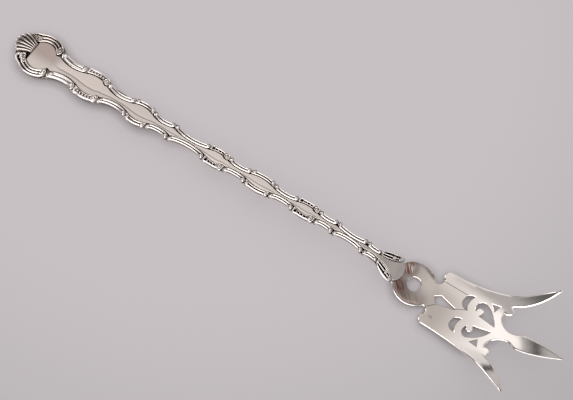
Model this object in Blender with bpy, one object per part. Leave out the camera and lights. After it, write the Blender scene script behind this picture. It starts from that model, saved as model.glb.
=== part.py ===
"""Long-handled silver serving fork: scrolled handle, round holed bowl and pierced three-tined plate.

Frame: metres, +X toward the tines, +Y to the left, +Z up, origin under the middle of the length on the
table. The handle is laid out by its distance from the handle's tip, the blade by its distance from the
front rim of the bowl, and every piece is then lifted onto the bent middle line of the whole fork.
"""
import math

import bmesh
import bpy

# Stock and fits
SHEET_THICKNESS = 0.0012
BAR_THICKNESS = 0.0028
BASE_THICKNESS = 0.0016
SHOULDER_BASE_THICKNESS = 0.0020
SOLDER_FILM = 0.0001
SAW_CUT = 0.0003

# Handle end: heart-shaped field inside an oval frame, with a shell on its tip
HEART_CENTRE = 0.0113
HEART_LENGTH = 0.0176
HEART_HALF_LENGTH = 0.0094
HEART_HALF_WIDTH = 0.0084
FIELD_HALF_LENGTH = 0.0083
FIELD_HALF_WIDTH = 0.0053
FRAME_START = 0.0058
SHELL_LENGTH = 0.0082
SHELL_HALF_WIDTH = 0.0047
SHELL_FOCUS = 0.0125
SHELL_HALF_ANGLE = math.radians(32)
SHELL_HEIGHT = 0.0022
SHELL_RIM_HEIGHT = 0.0011
SHELL_OVERHANG = 0.0005
SHELL_RIBS = 7
RIB_DEPTH = 0.0003
DOME_START = 0.12
DOME_FLATNESS = 0.6

# Scroll borders: each stretch between two joints swells out or draws in
SCROLLS = (
    ("waist", 0.0115), ("bulge", 0.0097), ("waist", 0.0117), ("bulge", 0.0082), ("waist", 0.0091),
    ("waist", 0.0146), ("bulge", 0.0079), ("waist", 0.0089), ("bulge", 0.0093), ("waist", 0.0095),
    ("bulge", 0.0082), ("waist", 0.0072), ("waist", 0.0115), ("waist", 0.0055),
)
SCROLL_SAG = {"waist": -0.072, "bulge": 0.085}
STEM_HALF_WIDTH = 0.0023
STEM_TAPER = 0.035
BORDER_WIDTH = 0.00115
BORDER_EXTRA_WIDTH = 0.00135
BORDER_TAPER = 0.020
BORDER_OVERHANG = 0.0002
ROLL_RISE = 0.00025
ROLL_COUNT = 2
ROLL_GROOVE = 0.4
JOINT_DIP = 0.45
JOINT_DIP_LENGTH = 0.0006
JOINT_GAP = 0.0003
PANEL_CROWN = 0.00035
PANEL_EDGE = 0.96
BACK_BEVEL = 0.0009
BASE_RIM = 0.0003

# Shoulders and heel
SHOULDER_LENGTH = 0.0071
SHOULDER_HALF_WIDTH = 0.0047
SHOULDER_SWELL = 0.0005
TONGUE_HALF_WIDTH = 0.0036
TONGUE_LENGTH = 0.0020
TONGUE_LIP = 0.0005
TONGUE_BLUNT = 0.995
HEEL_LAP = 0.0029
HEEL_ANGLE = math.radians(15)
ARCH_TO_RIM = 0.0167
ARCH_HALF_LENGTH = 0.0160
HEART_BEND_AT = 0.0176
HEART_BEND_HALF_LENGTH = 0.0050

# Bowl
BOWL_DIAMETER = 0.0150
BOWL_DEPTH = 0.00065
HOLE_DIAMETER = 0.0049
NECK_HALF_WIDTH = 0.0046
TAB_HALF_WIDTH = 0.0026
TAB_LENGTH = 0.0029

# Fork plate, in distances forward of the bowl's front rim and out from the middle line
BLADE_LOW = 0.0036
BLADE_BEND_RADIUS = 0.070
WING_LIFT = 0.0015
TIP_LIFT = 0.0069
NECK_NOTCH = (-0.00035, 0.0051)
LOBE_CENTRE = (0.00125, 0.0083)
LOBE_RADIUS = 0.0020
LOBE_START = math.radians(235)
LOBE_END = math.radians(90)
WING_END = (0.0208, 0.01255)
TINE_TIP = (0.0339, 0.0196)
TINE_ROOT = (0.0241, 0.0100)
CUSP_CENTRE = (0.0233, 0.0086)
CUSP_RADIUS = 0.00115
CUSP_START = math.radians(70)
CUSP_END = math.radians(-100)
HUB_START = (0.0225, 0.0066)
WAIST = (0.0273, 0.00165)
SPEAR_WIDEST = (0.0310, 0.00285)
SPEAR_TIP = (0.0452, 0.0)

# How the plate's curves leave and reach their ends, in shares of each curve's own run and rise
WING_LEAVES = (0.40, 0.0)
WING_ARRIVES = (0.30, 0.60)
TINE_LEAVES = (0.35, 0.16)
TINE_ARRIVES = (0.20, 0.30)
TINE_BACK_LEAVES = (0.10, 0.25)
TINE_BACK_ARRIVES = (0.35, 0.20)
HUB_LEAVES = (0.0, 0.55)
HUB_ARRIVES = (0.50, 0.0)
SWELL_LEAVES = (0.35, 0.0)
SWELL_ARRIVES = (0.40, 0.0)
SPEAR_LEAVES = (0.30, 0.0)
SPEAR_ARRIVES = (0.35, 0.55)

# Slot on the middle line, then piercings of the left half, mirrored for the right half
SLOT_BACK = (-0.0002, 0.0004)
SLOT_LEFT = (0.0019, 0.0017)
SLOT_RIGHT = (0.0013, -0.0023)
SLOT_TIP = 0.0079
SLOT_TIP_RADIUS = 0.0003
SLOT_TIP_TURN = math.radians(75)
CRESCENT_FRONT = (0.0115, 0.0071)
CRESCENT_BACK = (0.0085, 0.0050)
CRESCENT_HOLLOW = (0.0106, 0.00455)
CRESCENT_ROOT = (0.0112, 0.0015)
DROP_TIP = (0.0215, 0.00095)
DROP_TOP = (0.0152, 0.0068)
DROP_SIDE = (0.0190, 0.0047)
DROP_BACK = (0.0132, 0.0048)
DROP_ROOT = (0.0145, 0.0018)
CURL_CENTRE = (0.0149, 0.0034)
CURL_RADIUS = 0.0010
CURL_STALK = 0.0009
TRIANGLE = ((0.0172, 0.0075), (0.0191, 0.0054), (0.0200, 0.00795))
SEAM_HEIGHT = 0.0063

# Fineness of the faceted surfaces
BLADE_GRID = 0.0018
ARC_STEPS = 8
SHORT_ARC_STEPS = 4
CURVE_STEPS = 9
END_STEPS = 8
SCROLL_STEPS = 6
HEEL_STEPS = 5
BORDER_STEPS = 4
FRAME_STEPS = 9
ROLL_FACETS = 3
RIB_FACETS = 4
DOME_STEPS = 6
SHARP_ANGLE = math.radians(35)

# Finish of each kind of silver: colour and roughness
POLISHED = ((0.86, 0.84, 0.81), 0.14)
CHASED_BORDER = ((0.82, 0.80, 0.77), 0.20)
CHASED_SHELL = ((0.80, 0.78, 0.75), 0.22)
BOWL_FINISH = ((0.83, 0.79, 0.75), 0.16)
PLATE_FINISH = ((0.86, 0.84, 0.81), 0.16)

# Places along the handle, measured from its tip
STEM_START = HEART_LENGTH
SHOULDER_START = STEM_START + sum(length for kind, length in SCROLLS)
SHOULDER_END = SHOULDER_START + SHOULDER_LENGTH
HEEL_END = SHOULDER_END + TONGUE_LENGTH
BACK_RIM = HEEL_END - HEEL_LAP
BOWL_CENTRE = BACK_RIM + BOWL_DIAMETER / 2
FRONT_RIM = BACK_RIM + BOWL_DIAMETER
TOTAL_LENGTH = FRONT_RIM + SPEAR_TIP[0]
RABBET_START = BACK_RIM - TAB_LENGTH - SAW_CUT
LOWEST = FRONT_RIM + BLADE_LOW
HEEL_SLOPE = math.tan(HEEL_ANGLE)
ARCH_AT = BACK_RIM - ARCH_TO_RIM


def ramp(along, corner, half_length):
    """Distance past a corner, rounded by a parabola over half_length on either side of it."""
    if along <= corner - half_length:
        return 0.0
    if along >= corner + half_length:
        return along - corner
    return (along - corner + half_length) ** 2 / (4 * half_length)


def bow(share):
    """Parabola that is nothing at both ends and one in the middle."""
    return 4 * share * (1 - share)


def smooth_step(value, start, end):
    """Eases from nothing at start to one at end."""
    t = min(max((value - start) / (end - start), 0.0), 1.0)
    return t * t * (3 - 2 * t)


def blade_height(along):
    """Middle of the sheet on the centre line: down from the heel, lowest under the plate, up the tines."""
    if along >= LOWEST:
        ahead = along - LOWEST
        return SHEET_THICKNESS / 2 + BLADE_BEND_RADIUS - math.sqrt(BLADE_BEND_RADIUS ** 2 - ahead ** 2)
    run = LOWEST - BACK_RIM
    rim_height = SHEET_THICKNESS / 2 + HEEL_SLOPE * run / 2
    if along <= BACK_RIM:
        return rim_height + HEEL_SLOPE * (BACK_RIM - along)
    return SHEET_THICKNESS / 2 + HEEL_SLOPE * (LOWEST - along) ** 2 / (2 * run)


def blade_lift(along, across):
    """Height of the bent sheet's middle, with the bowl's dish and the rise of the wings and side tines."""
    radius_share = math.hypot(along - BOWL_CENTRE, across) / (BOWL_DIAMETER / 2)
    dish = BOWL_DEPTH * (1 - radius_share ** 2) ** 2 if radius_share < 1 else 0.0
    wing_curve = WING_LIFT / WING_END[1] ** 2
    tip_curve = TIP_LIFT / TINE_TIP[1] ** 2
    wing_start = FRONT_RIM + LOBE_CENTRE[0]
    curve = wing_curve * smooth_step(along, BOWL_CENTRE, wing_start + LOBE_RADIUS)
    forward = min(max((along - wing_start) / (TINE_TIP[0] - LOBE_CENTRE[0]), 0.0), 1.0)
    curve += (tip_curve - wing_curve) * forward
    return blade_height(along) - dish + curve * across ** 2


HEEL_RISE = blade_height(BACK_RIM) - SHEET_THICKNESS / 2
STEM_SLOPE = (HEEL_RISE + HEEL_SLOPE * ARCH_TO_RIM) / (ARCH_AT - HEART_BEND_AT)


def bar_bottom(along):
    """Back of the bar: flat on the table under the heart, a straight climb, one arch, down to the heel."""
    climb = STEM_SLOPE * ramp(along, HEART_BEND_AT, HEART_BEND_HALF_LENGTH)
    fall = (STEM_SLOPE + HEEL_SLOPE) * ramp(along, ARCH_AT, ARCH_HALF_LENGTH)
    return climb - fall


def ledge_height(along):
    """Top of the bar's base, on which the shell and the borders are seated."""
    shoulder_middle = (SHOULDER_START + SHOULDER_END) / 2
    share = smooth_step(along, SHOULDER_START, shoulder_middle)
    return bar_bottom(along) + BASE_THICKNESS + (SHOULDER_BASE_THICKNESS - BASE_THICKNESS) * share


def bar_top(along):
    """Crown of the panel, with the heel's tongue thinning to a lip on the bowl."""
    top = bar_bottom(along) + BAR_THICKNESS
    lip = blade_height(along) + SHEET_THICKNESS / 2 + SOLDER_FILM + TONGUE_LIP
    return top + (lip - top) * smooth_step(along, SHOULDER_START, HEEL_END)


def oval(along, centre, half_length, half_width):
    """Half width of an oval at a place along it, or nothing outside it."""
    share = min(abs(along - centre) / half_length, 1.0)
    return half_width * math.sqrt(1 - share ** 2)


def joint_half_width(along):
    """Half width of the handle at a joint between two scrolls."""
    heart_joint = oval(HEART_LENGTH, HEART_CENTRE, HEART_HALF_LENGTH, HEART_HALF_WIDTH)
    return STEM_HALF_WIDTH + (heart_joint - STEM_HALF_WIDTH) * math.exp((STEM_START - along) / STEM_TAPER)


def scroll_joints():
    """Places of the joints along the stem, from the heart to the shoulders."""
    joints = [STEM_START]
    for kind, length in SCROLLS:
        joints.append(joints[-1] + length)
    return joints


JOINTS = scroll_joints()


def edge_half_width(along):
    """Half width over the borders: an oval heart, then scroll by scroll, then swelling shoulders."""
    if along <= STEM_START:
        return oval(along, HEART_CENTRE, HEART_HALF_LENGTH, HEART_HALF_WIDTH)
    if along >= SHOULDER_START:
        share = min((along - SHOULDER_START) / SHOULDER_LENGTH, 1.0)
        first = joint_half_width(SHOULDER_START)
        return first + (SHOULDER_HALF_WIDTH - first) * share + SHOULDER_SWELL * bow(share)
    index = max(i for i, joint in enumerate(JOINTS[:-1]) if joint <= along)
    kind, length = SCROLLS[index]
    share = (along - JOINTS[index]) / length
    chord = joint_half_width(JOINTS[index]) * (1 - share) + joint_half_width(JOINTS[index + 1]) * share
    return chord + SCROLL_SAG[kind] * length * bow(share)


def panel_half_width(along):
    """Half width of the plain panel between the borders."""
    if along <= STEM_START:
        return oval(along, HEART_CENTRE, FIELD_HALF_LENGTH, FIELD_HALF_WIDTH)
    border = BORDER_WIDTH + BORDER_EXTRA_WIDTH * math.exp((STEM_START - along) / BORDER_TAPER)
    if along <= SHOULDER_START:
        return edge_half_width(along) - border
    first = edge_half_width(SHOULDER_START) - border
    if along <= SHOULDER_END:
        share = (along - SHOULDER_START) / SHOULDER_LENGTH
        return first + (TONGUE_HALF_WIDTH - first) * share
    share = min((along - SHOULDER_END) / TONGUE_LENGTH, TONGUE_BLUNT)
    return TONGUE_HALF_WIDTH * math.sqrt(1 - share ** 2)


def spread(start, end, steps):
    return [start + (end - start) * i / steps for i in range(steps + 1)]


def scroll_stations(start, end, steps):
    """Stations of one scroll: close together at its two joints, evenly spread between them."""
    near = JOINT_DIP_LENGTH
    inner = spread(start + 2 * near, end - 2 * near, steps)
    return [start, start + near / 2] + inner + [end - near / 2]


def silver(name, finish):
    colour, roughness = finish
    material = bpy.data.materials.new(name)
    material.use_nodes = True
    shader = material.node_tree.nodes["Principled BSDF"]
    shader.inputs["Base Color"].default_value = (*colour, 1.0)
    shader.inputs["Metallic"].default_value = 1.0
    shader.inputs["Roughness"].default_value = roughness
    return material


def finished_piece(name, shape, finish):
    """Turns a bmesh into a named object with its own silver, smooth except at its sharp edges."""
    bmesh.ops.triangulate(shape, faces=shape.faces)
    mesh = bpy.data.meshes.new(name)
    shape.to_mesh(mesh)
    shape.free()
    mesh.shade_smooth()
    mesh.set_sharp_from_angle(angle=SHARP_ANGLE)
    mesh.materials.append(silver(name + "_silver", finish))
    piece = bpy.data.objects.new(name, mesh)
    bpy.context.scene.collection.objects.link(piece)
    return piece


def place(point):
    """From distances along, across and up to the fork's own frame."""
    along, across, height = point
    return (along - TOTAL_LENGTH / 2, across, height)


def skin(name, sections, finish):
    """One closed body through a row of closed sections that have the same number of points."""
    shape = bmesh.new()
    loops = [[shape.verts.new(place(point)) for point in section] for section in sections]
    count = len(loops[0])
    for near, far in zip(loops, loops[1:]):
        for i in range(count):
            j = (i + 1) % count
            shape.faces.new((near[i], near[j], far[j], far[i]))
    shape.faces.new(loops[0])
    shape.faces.new(loops[-1])
    bmesh.ops.recalc_face_normals(shape, faces=shape.faces)
    return finished_piece(name, shape, finish)


def shell_seat_half_width(along):
    """Half width of the part of the bar's base that carries the shell, inside the shell's own rim."""
    centre = SHELL_LENGTH / 2 + SHELL_OVERHANG
    return oval(along, centre, SHELL_LENGTH / 2, SHELL_HALF_WIDTH - SHELL_OVERHANG)


def bar_section(along):
    """Closed section of the bar: bevelled back, two ledges and a crowned panel between them."""
    panel = panel_half_width(along)
    bottom = bar_bottom(along)
    ledge = ledge_height(along)
    top = bar_top(along)
    crown = PANEL_CROWN
    base = edge_half_width(along) - BORDER_OVERHANG
    if along <= SHELL_LENGTH:
        base = max(base, shell_seat_half_width(along))
        panel = max(panel, base / 2)
        top = ledge
        crown = 0.0
    if along > SHOULDER_END:
        base = panel + SOLDER_FILM
        ledge = min(ledge, top - crown - SOLDER_FILM)
    if along >= RABBET_START:
        bottom = blade_lift(along, base) + SHEET_THICKNESS / 2 + SOLDER_FILM
    half = [
        (base - min(BACK_BEVEL, base / 2), bottom),
        (base, ledge - min(BASE_RIM, (ledge - bottom) / 2)),
        (base, ledge),
        (panel, ledge),
        (panel * PANEL_EDGE, top - crown),
        (panel * PANEL_EDGE / 2, top - crown / 4),
    ]
    right = [(along, -across, height) for across, height in reversed(half)]
    left = [(along, across, height) for across, height in half]
    return [(along, 0.0, bottom)] + left + [(along, 0.0, top)] + right


def build_bar():
    step = SOLDER_FILM
    tip = SHELL_OVERHANG + step
    quarter_turn = spread(0.0, math.pi / 2, END_STEPS)
    stations = [tip + (SHELL_LENGTH - tip) * (1 - math.cos(angle)) for angle in quarter_turn]
    stations += spread(SHELL_LENGTH + step, STEM_START, END_STEPS)[:-1]
    for start, end in zip(JOINTS, JOINTS[1:]):
        stations += spread(start, end, SCROLL_STEPS)[:-1]
    stations += spread(SHOULDER_START, RABBET_START - step, HEEL_STEPS)
    stations += spread(RABBET_START, SHOULDER_END, HEEL_STEPS)
    stations += [SHOULDER_END + TONGUE_LENGTH * math.sin(angle) for angle in quarter_turn[1:]]
    return skin("handle_bar", [bar_section(along) for along in stations], POLISHED)


def border_section(along, side):
    """Closed section of a border: flat seat and a top of parallel rolls, lower beside a joint."""
    inner = panel_half_width(along) + SOLDER_FILM
    outer = edge_half_width(along)
    seat = ledge_height(along) + SOLDER_FILM
    nearest = min(abs(along - joint) for joint in JOINTS)
    dip = JOINT_DIP * math.exp(-(nearest / JOINT_DIP_LENGTH) ** 2)
    height = (bar_top(along) + ROLL_RISE - seat) * (1 - dip)
    top = []
    samples = ROLL_FACETS * ROLL_COUNT
    for i in range(samples + 1):
        share = i / samples
        roll = abs(math.sin(ROLL_COUNT * math.pi * share))
        across = inner + (outer - inner) * share
        top.append((along, side * across, seat + height * (1 - ROLL_GROOVE + ROLL_GROOVE * roll)))
    return [(along, side * inner, seat)] + top + [(along, side * outer, seat)]


def build_borders():
    gap = JOINT_GAP / 2
    heart = scroll_stations(FRAME_START, STEM_START - gap, FRAME_STEPS) + [STEM_START - gap]
    stem = []
    for start, end in zip(JOINTS, JOINTS[1:]):
        stem += scroll_stations(start, end, BORDER_STEPS)
    stem = [STEM_START + gap] + stem[1:] + [SHOULDER_START - gap]
    shoulder = scroll_stations(SHOULDER_START + gap, SHOULDER_END, HEEL_STEPS) + [SHOULDER_END]
    runs = (("heart_scroll", heart), ("stem_border", stem), ("shoulder_scroll", shoulder))
    pieces = []
    for label, side in (("left", 1), ("right", -1)):
        for name, stations in runs:
            sections = [border_section(along, side) for along in stations]
            pieces.append(skin(name + "_" + label, sections, CHASED_BORDER))
    return pieces


def shell_point(angle, share):
    """Top of the shell: ribs fan out from a focus inside the heart, domed from the base to the rim."""
    base_radius = (SHELL_FOCUS - SHELL_LENGTH + SOLDER_FILM) / math.cos(angle)
    rib = math.cos(math.pi * SHELL_RIBS * angle / SHELL_HALF_ANGLE)
    corner_share = SHELL_HALF_WIDTH / math.sin(SHELL_HALF_ANGLE) / SHELL_FOCUS
    roundness = math.log(corner_share) / math.log(math.cos(SHELL_HALF_ANGLE))
    rim_radius = (SHELL_FOCUS - RIB_DEPTH) * math.cos(angle) ** roundness + RIB_DEPTH * rib
    radius = base_radius + (rim_radius - base_radius) * share
    dome = math.sin(math.pi * (DOME_START + (1 - DOME_START) * share)) ** DOME_FLATNESS
    height = SHELL_RIM_HEIGHT + (SHELL_HEIGHT - SHELL_RIM_HEIGHT) * dome + RIB_DEPTH * rib * share
    along = SHELL_FOCUS - radius * math.cos(angle)
    return (along, radius * math.sin(angle), ledge_height(along) + SOLDER_FILM + height)


def build_shell():
    sections = []
    for angle in spread(-SHELL_HALF_ANGLE, SHELL_HALF_ANGLE, RIB_FACETS * SHELL_RIBS):
        section = [shell_point(angle, share) for share in spread(0.0, 1.0, DOME_STEPS)]
        for along, across, height in (section[-1], section[0]):
            section.append((along, across, ledge_height(along) + SOLDER_FILM))
        sections.append(section)
    return skin("shell_crest", sections, CHASED_SHELL)


def arc(centre, radius, start, end, steps=ARC_STEPS):
    turns = spread(start, end, steps)
    return [(centre[0] + radius * math.cos(turn), centre[1] + radius * math.sin(turn)) for turn in turns]


def arc_through(first, middle, last, steps=ARC_STEPS):
    """Points of the circular arc that runs through three points."""
    (ax, ay), (bx, by), (cx, cy) = first, middle, last
    d = 2 * (ax * (by - cy) + bx * (cy - ay) + cx * (ay - by))
    a2, b2, c2 = ax * ax + ay * ay, bx * bx + by * by, cx * cx + cy * cy
    centre = (
        (a2 * (by - cy) + b2 * (cy - ay) + c2 * (ay - by)) / d,
        (a2 * (cx - bx) + b2 * (ax - cx) + c2 * (bx - ax)) / d,
    )
    start, through, end = (math.atan2(y - centre[1], x - centre[0]) for x, y in (first, middle, last))
    turn = (end - start) % (2 * math.pi)
    if (through - start) % (2 * math.pi) > turn:
        turn -= 2 * math.pi
    return arc(centre, math.hypot(ax - centre[0], ay - centre[1]), start, start + turn, steps)


def curve(first, leaves, arrives, last):
    """Cubic curve between two points, its pulls given in shares of the way from one to the other."""
    points = []
    for t in spread(0.0, 1.0, CURVE_STEPS):
        point = []
        for axis in (0, 1):
            way = last[axis] - first[axis]
            first_pull = 3 * leaves[axis] * t * (1 - t) ** 2
            last_pull = 3 * (1 - arrives[axis]) * t ** 2 * (1 - t)
            point.append(first[axis] + way * (first_pull + last_pull + t ** 3))
        points.append(tuple(point))
    return points


def half_outline():
    """Left half of the blade's outline, from the root tab round to the tip of the middle tine."""
    radius = BOWL_DIAMETER / 2
    centre = (-radius, 0.0)
    tab_angle = math.pi - math.asin(TAB_HALF_WIDTH / radius)
    neck_angle = math.asin(NECK_HALF_WIDTH / radius)
    rim = arc(centre, radius, tab_angle, neck_angle, 2 * ARC_STEPS)
    lobe = arc(LOBE_CENTRE, LOBE_RADIUS, LOBE_START, LOBE_END)
    points = [(-2 * radius - TAB_LENGTH, TAB_HALF_WIDTH)] + rim
    points += arc_through(rim[-1], NECK_NOTCH, lobe[0])[1:-1] + lobe
    points += curve(lobe[-1], WING_LEAVES, WING_ARRIVES, WING_END)[1:]
    points += curve(WING_END, TINE_LEAVES, TINE_ARRIVES, TINE_TIP)[1:]
    points += curve(TINE_TIP, TINE_BACK_LEAVES, TINE_BACK_ARRIVES, TINE_ROOT)[1:]
    points += arc(CUSP_CENTRE, CUSP_RADIUS, CUSP_START, CUSP_END)
    points += curve(HUB_START, HUB_LEAVES, HUB_ARRIVES, WAIST)
    points += curve(WAIST, SWELL_LEAVES, SWELL_ARRIVES, SPEAR_WIDEST)[1:]
    points += curve(SPEAR_WIDEST, SPEAR_LEAVES, SPEAR_ARRIVES, SPEAR_TIP)[1:]
    return points


def crescent_outline():
    back = arc_through(CRESCENT_FRONT, CRESCENT_BACK, CRESCENT_ROOT, 2 * ARC_STEPS)
    return back + arc_through(CRESCENT_ROOT, CRESCENT_HOLLOW, CRESCENT_FRONT, 2 * ARC_STEPS)[1:-1]


def drop_outline():
    """Teardrop that a round curl on a short stalk stands into."""
    top = arc_through(DROP_TIP, DROP_SIDE, DROP_TOP)
    back = arc_through(DROP_TOP, DROP_BACK, DROP_ROOT)[1:]
    to_root = math.atan2(DROP_ROOT[1] - CURL_CENTRE[1], DROP_ROOT[0] - CURL_CENTRE[0])
    opening = math.asin(CURL_STALK / 2 / CURL_RADIUS)
    curl = arc(CURL_CENTRE, CURL_RADIUS, to_root - opening, to_root + opening - 2 * math.pi, 2 * ARC_STEPS)
    root = (DROP_ROOT[0] + CURL_STALK, DROP_ROOT[1])
    return top + back + curl + [root]


def mirrored(points):
    return [(along, -across) for along, across in reversed(points)]


def prism(shape, points, half_height):
    """Upright closed prism over a plan outline that is given forward of the bowl's front rim."""
    corners = [shape.verts.new((along, across, -half_height)) for along, across in points]
    floor = shape.faces.new(corners)
    raised = bmesh.ops.extrude_face_region(shape, geom=[floor])["geom"]
    for element in raised:
        if isinstance(element, bmesh.types.BMVert):
            element.co.z = half_height


def cutter_object(name, outlines, half_height):
    shape = bmesh.new()
    for points in outlines:
        prism(shape, points, half_height)
    bmesh.ops.recalc_face_normals(shape, faces=shape.faces)
    mesh = bpy.data.meshes.new(name)
    shape.to_mesh(mesh)
    shape.free()
    cutter = bpy.data.objects.new(name, mesh)
    bpy.context.scene.collection.objects.link(cutter)
    cutter.hide_render = True
    cutter.display_type = "WIRE"
    return cutter


def saw_line(first, last):
    """Plan outline of a straight saw cut of the seam's width between two points."""
    length = math.hypot(last[0] - first[0], last[1] - first[1])
    side = (-(last[1] - first[1]) / length * SAW_CUT / 2, (last[0] - first[0]) / length * SAW_CUT / 2)
    return [
        (first[0] + side[0], first[1] + side[1]), (first[0] - side[0], first[1] - side[1]),
        (last[0] - side[0], last[1] - side[1]), (last[0] + side[0], last[1] + side[1]),
    ]


def seam_outlines():
    """Three short seams along which the bowl's tongue meets the fork plate."""
    behind_neck = NECK_NOTCH[0] - LOBE_RADIUS / 2
    inside_crescent = (CRESCENT_BACK[0] + CRESCENT_HOLLOW[0]) / 2
    return [
        saw_line((behind_neck, -NECK_NOTCH[1]), (SLOT_RIGHT[0] + SAW_CUT, SLOT_RIGHT[1])),
        saw_line((SLOT_TIP - SAW_CUT, 0.0), (CRESCENT_ROOT[0], CRESCENT_ROOT[1] + SAW_CUT)),
        saw_line((behind_neck, SEAM_HEIGHT), (inside_crescent, SEAM_HEIGHT)),
    ]


def piercing_outlines():
    hole = arc((-BOWL_DIAMETER / 2, 0.0), HOLE_DIAMETER / 2, 0.0, 2 * math.pi, 4 * ARC_STEPS)[:-1]
    slot_end = (SLOT_TIP - SLOT_TIP_RADIUS, 0.0)
    slot_front = arc(slot_end, SLOT_TIP_RADIUS, -SLOT_TIP_TURN, SLOT_TIP_TURN, SHORT_ARC_STEPS)
    slot = [SLOT_RIGHT] + slot_front + [SLOT_LEFT, SLOT_BACK]
    outlines = [hole, slot]
    for half in (crescent_outline(), drop_outline(), list(TRIANGLE)):
        outlines += [half, mirrored(half)]
    return outlines


def flat_blade():
    """Flat sheet with an even grid, cut to the blade's outline, pierced and sawn along the seams."""
    margin = BLADE_GRID
    start = -BOWL_DIAMETER - TAB_LENGTH - margin
    end = SPEAR_TIP[0] + margin
    columns = round((end - start) / BLADE_GRID)
    rows = 2 * round((TINE_TIP[1] + margin) / BLADE_GRID) + 1
    shape = bmesh.new()
    bmesh.ops.create_grid(shape, x_segments=columns, y_segments=rows, size=0.5)
    for vertex in shape.verts:
        vertex.co.x = start + (vertex.co.x + 0.5) * (end - start)
        vertex.co.y = vertex.co.y * rows * BLADE_GRID
    mesh = bpy.data.meshes.new("blade_sheet")
    shape.to_mesh(mesh)
    shape.free()
    sheet = bpy.data.objects.new("blade_sheet", mesh)
    bpy.context.scene.collection.objects.link(sheet)
    solid = sheet.modifiers.new("thickness", "SOLIDIFY")
    solid.thickness = SHEET_THICKNESS
    solid.offset = 0.0
    left = half_outline()
    cuts = (
        ("INTERSECT", cutter_object("outline_cutter", [left + mirrored(left)[1:]], SHEET_THICKNESS)),
        ("DIFFERENCE", cutter_object("piercing_cutter", piercing_outlines(), SHEET_THICKNESS)),
        ("DIFFERENCE", cutter_object("seam_cutter", seam_outlines(), SHEET_THICKNESS)),
    )
    for operation, cutter in cuts:
        cut = sheet.modifiers.new(cutter.name, "BOOLEAN")
        cut.operation = operation
        cut.object = cutter
    evaluated = sheet.evaluated_get(bpy.context.evaluated_depsgraph_get())
    flat = bpy.data.meshes.new_from_object(evaluated)
    bpy.data.objects.remove(sheet)
    for operation, cutter in cuts:
        bpy.data.objects.remove(cutter)
    return flat


def connected_bodies(shape):
    """Groups of vertices that are joined by edges, the rearmost group first."""
    waiting = set(shape.verts)
    bodies = []
    while waiting:
        body = set()
        front = [waiting.pop()]
        while front:
            vertex = front.pop()
            body.add(vertex)
            for edge in vertex.link_edges:
                other = edge.other_vert(vertex)
                if other in waiting:
                    waiting.remove(other)
                    front.append(other)
        bodies.append(body)
    return sorted(bodies, key=lambda body: min(vertex.co.x for vertex in body))


def build_blade():
    """Bends the flat blade onto its middle line and gives each sawn piece its own object."""
    flat = flat_blade()
    pieces = []
    for index, (name, finish) in enumerate((("bowl", BOWL_FINISH), ("fork_plate", PLATE_FINISH))):
        shape = bmesh.new()
        shape.from_mesh(flat)
        bodies = connected_bodies(shape)
        others = [vertex for body in bodies if body is not bodies[index] for vertex in body]
        bmesh.ops.delete(shape, geom=others, context="VERTS")
        bmesh.ops.triangulate(shape, faces=shape.faces)
        for vertex in shape.verts:
            along = FRONT_RIM + vertex.co.x
            vertex.co = place((along, vertex.co.y, vertex.co.z + blade_lift(along, vertex.co.y)))
        pieces.append(finished_piece(name, shape, finish))
    return pieces


def main():
    for old in list(bpy.data.objects):
        bpy.data.objects.remove(old)
    pieces = [build_bar(), build_shell()] + build_borders() + build_blade()
    fork = bpy.data.objects.new("serving_fork", None)
    bpy.context.scene.collection.objects.link(fork)
    for piece in pieces:
        piece.parent = fork


main()
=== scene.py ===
# %% [markdown]
# # A long silver serving fork
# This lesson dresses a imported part: the solids already have the right sizes, and here every piece gets its
# fine surface. All shapes are worked out in millimetres, by distance along the fork from the handle's tip,
# distance across and height, and only the last step turns them into metres in the part's own frame.

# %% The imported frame
import math

import bmesh
import bpy
import numpy as np
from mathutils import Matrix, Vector


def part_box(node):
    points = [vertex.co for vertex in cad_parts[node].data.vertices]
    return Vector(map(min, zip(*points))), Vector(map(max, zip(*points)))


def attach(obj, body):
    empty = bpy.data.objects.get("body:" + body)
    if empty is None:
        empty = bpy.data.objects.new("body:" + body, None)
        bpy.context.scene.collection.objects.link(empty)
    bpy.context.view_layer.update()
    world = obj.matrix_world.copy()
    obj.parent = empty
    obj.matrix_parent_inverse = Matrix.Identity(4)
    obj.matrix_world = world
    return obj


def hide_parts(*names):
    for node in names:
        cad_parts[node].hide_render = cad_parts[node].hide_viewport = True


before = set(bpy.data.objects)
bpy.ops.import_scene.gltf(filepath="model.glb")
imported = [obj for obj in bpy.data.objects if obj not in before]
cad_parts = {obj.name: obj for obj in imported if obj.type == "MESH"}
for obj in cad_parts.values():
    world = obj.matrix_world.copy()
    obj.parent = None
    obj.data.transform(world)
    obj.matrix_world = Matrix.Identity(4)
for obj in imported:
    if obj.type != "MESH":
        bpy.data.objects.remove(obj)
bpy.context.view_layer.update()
MM = 0.001
HANDLE_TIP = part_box("shell_crest")[0][0] / MM

# %% [markdown]
# The fork's middle line is bent like the real one's. The handle lies flat under its heart-shaped end, climbs
# in a straight line, arches over and comes down to the bowl. The blade dips and then turns up into the tines.
# These few formulas carry every piece, so pieces that touch in one place touch everywhere.

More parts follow.
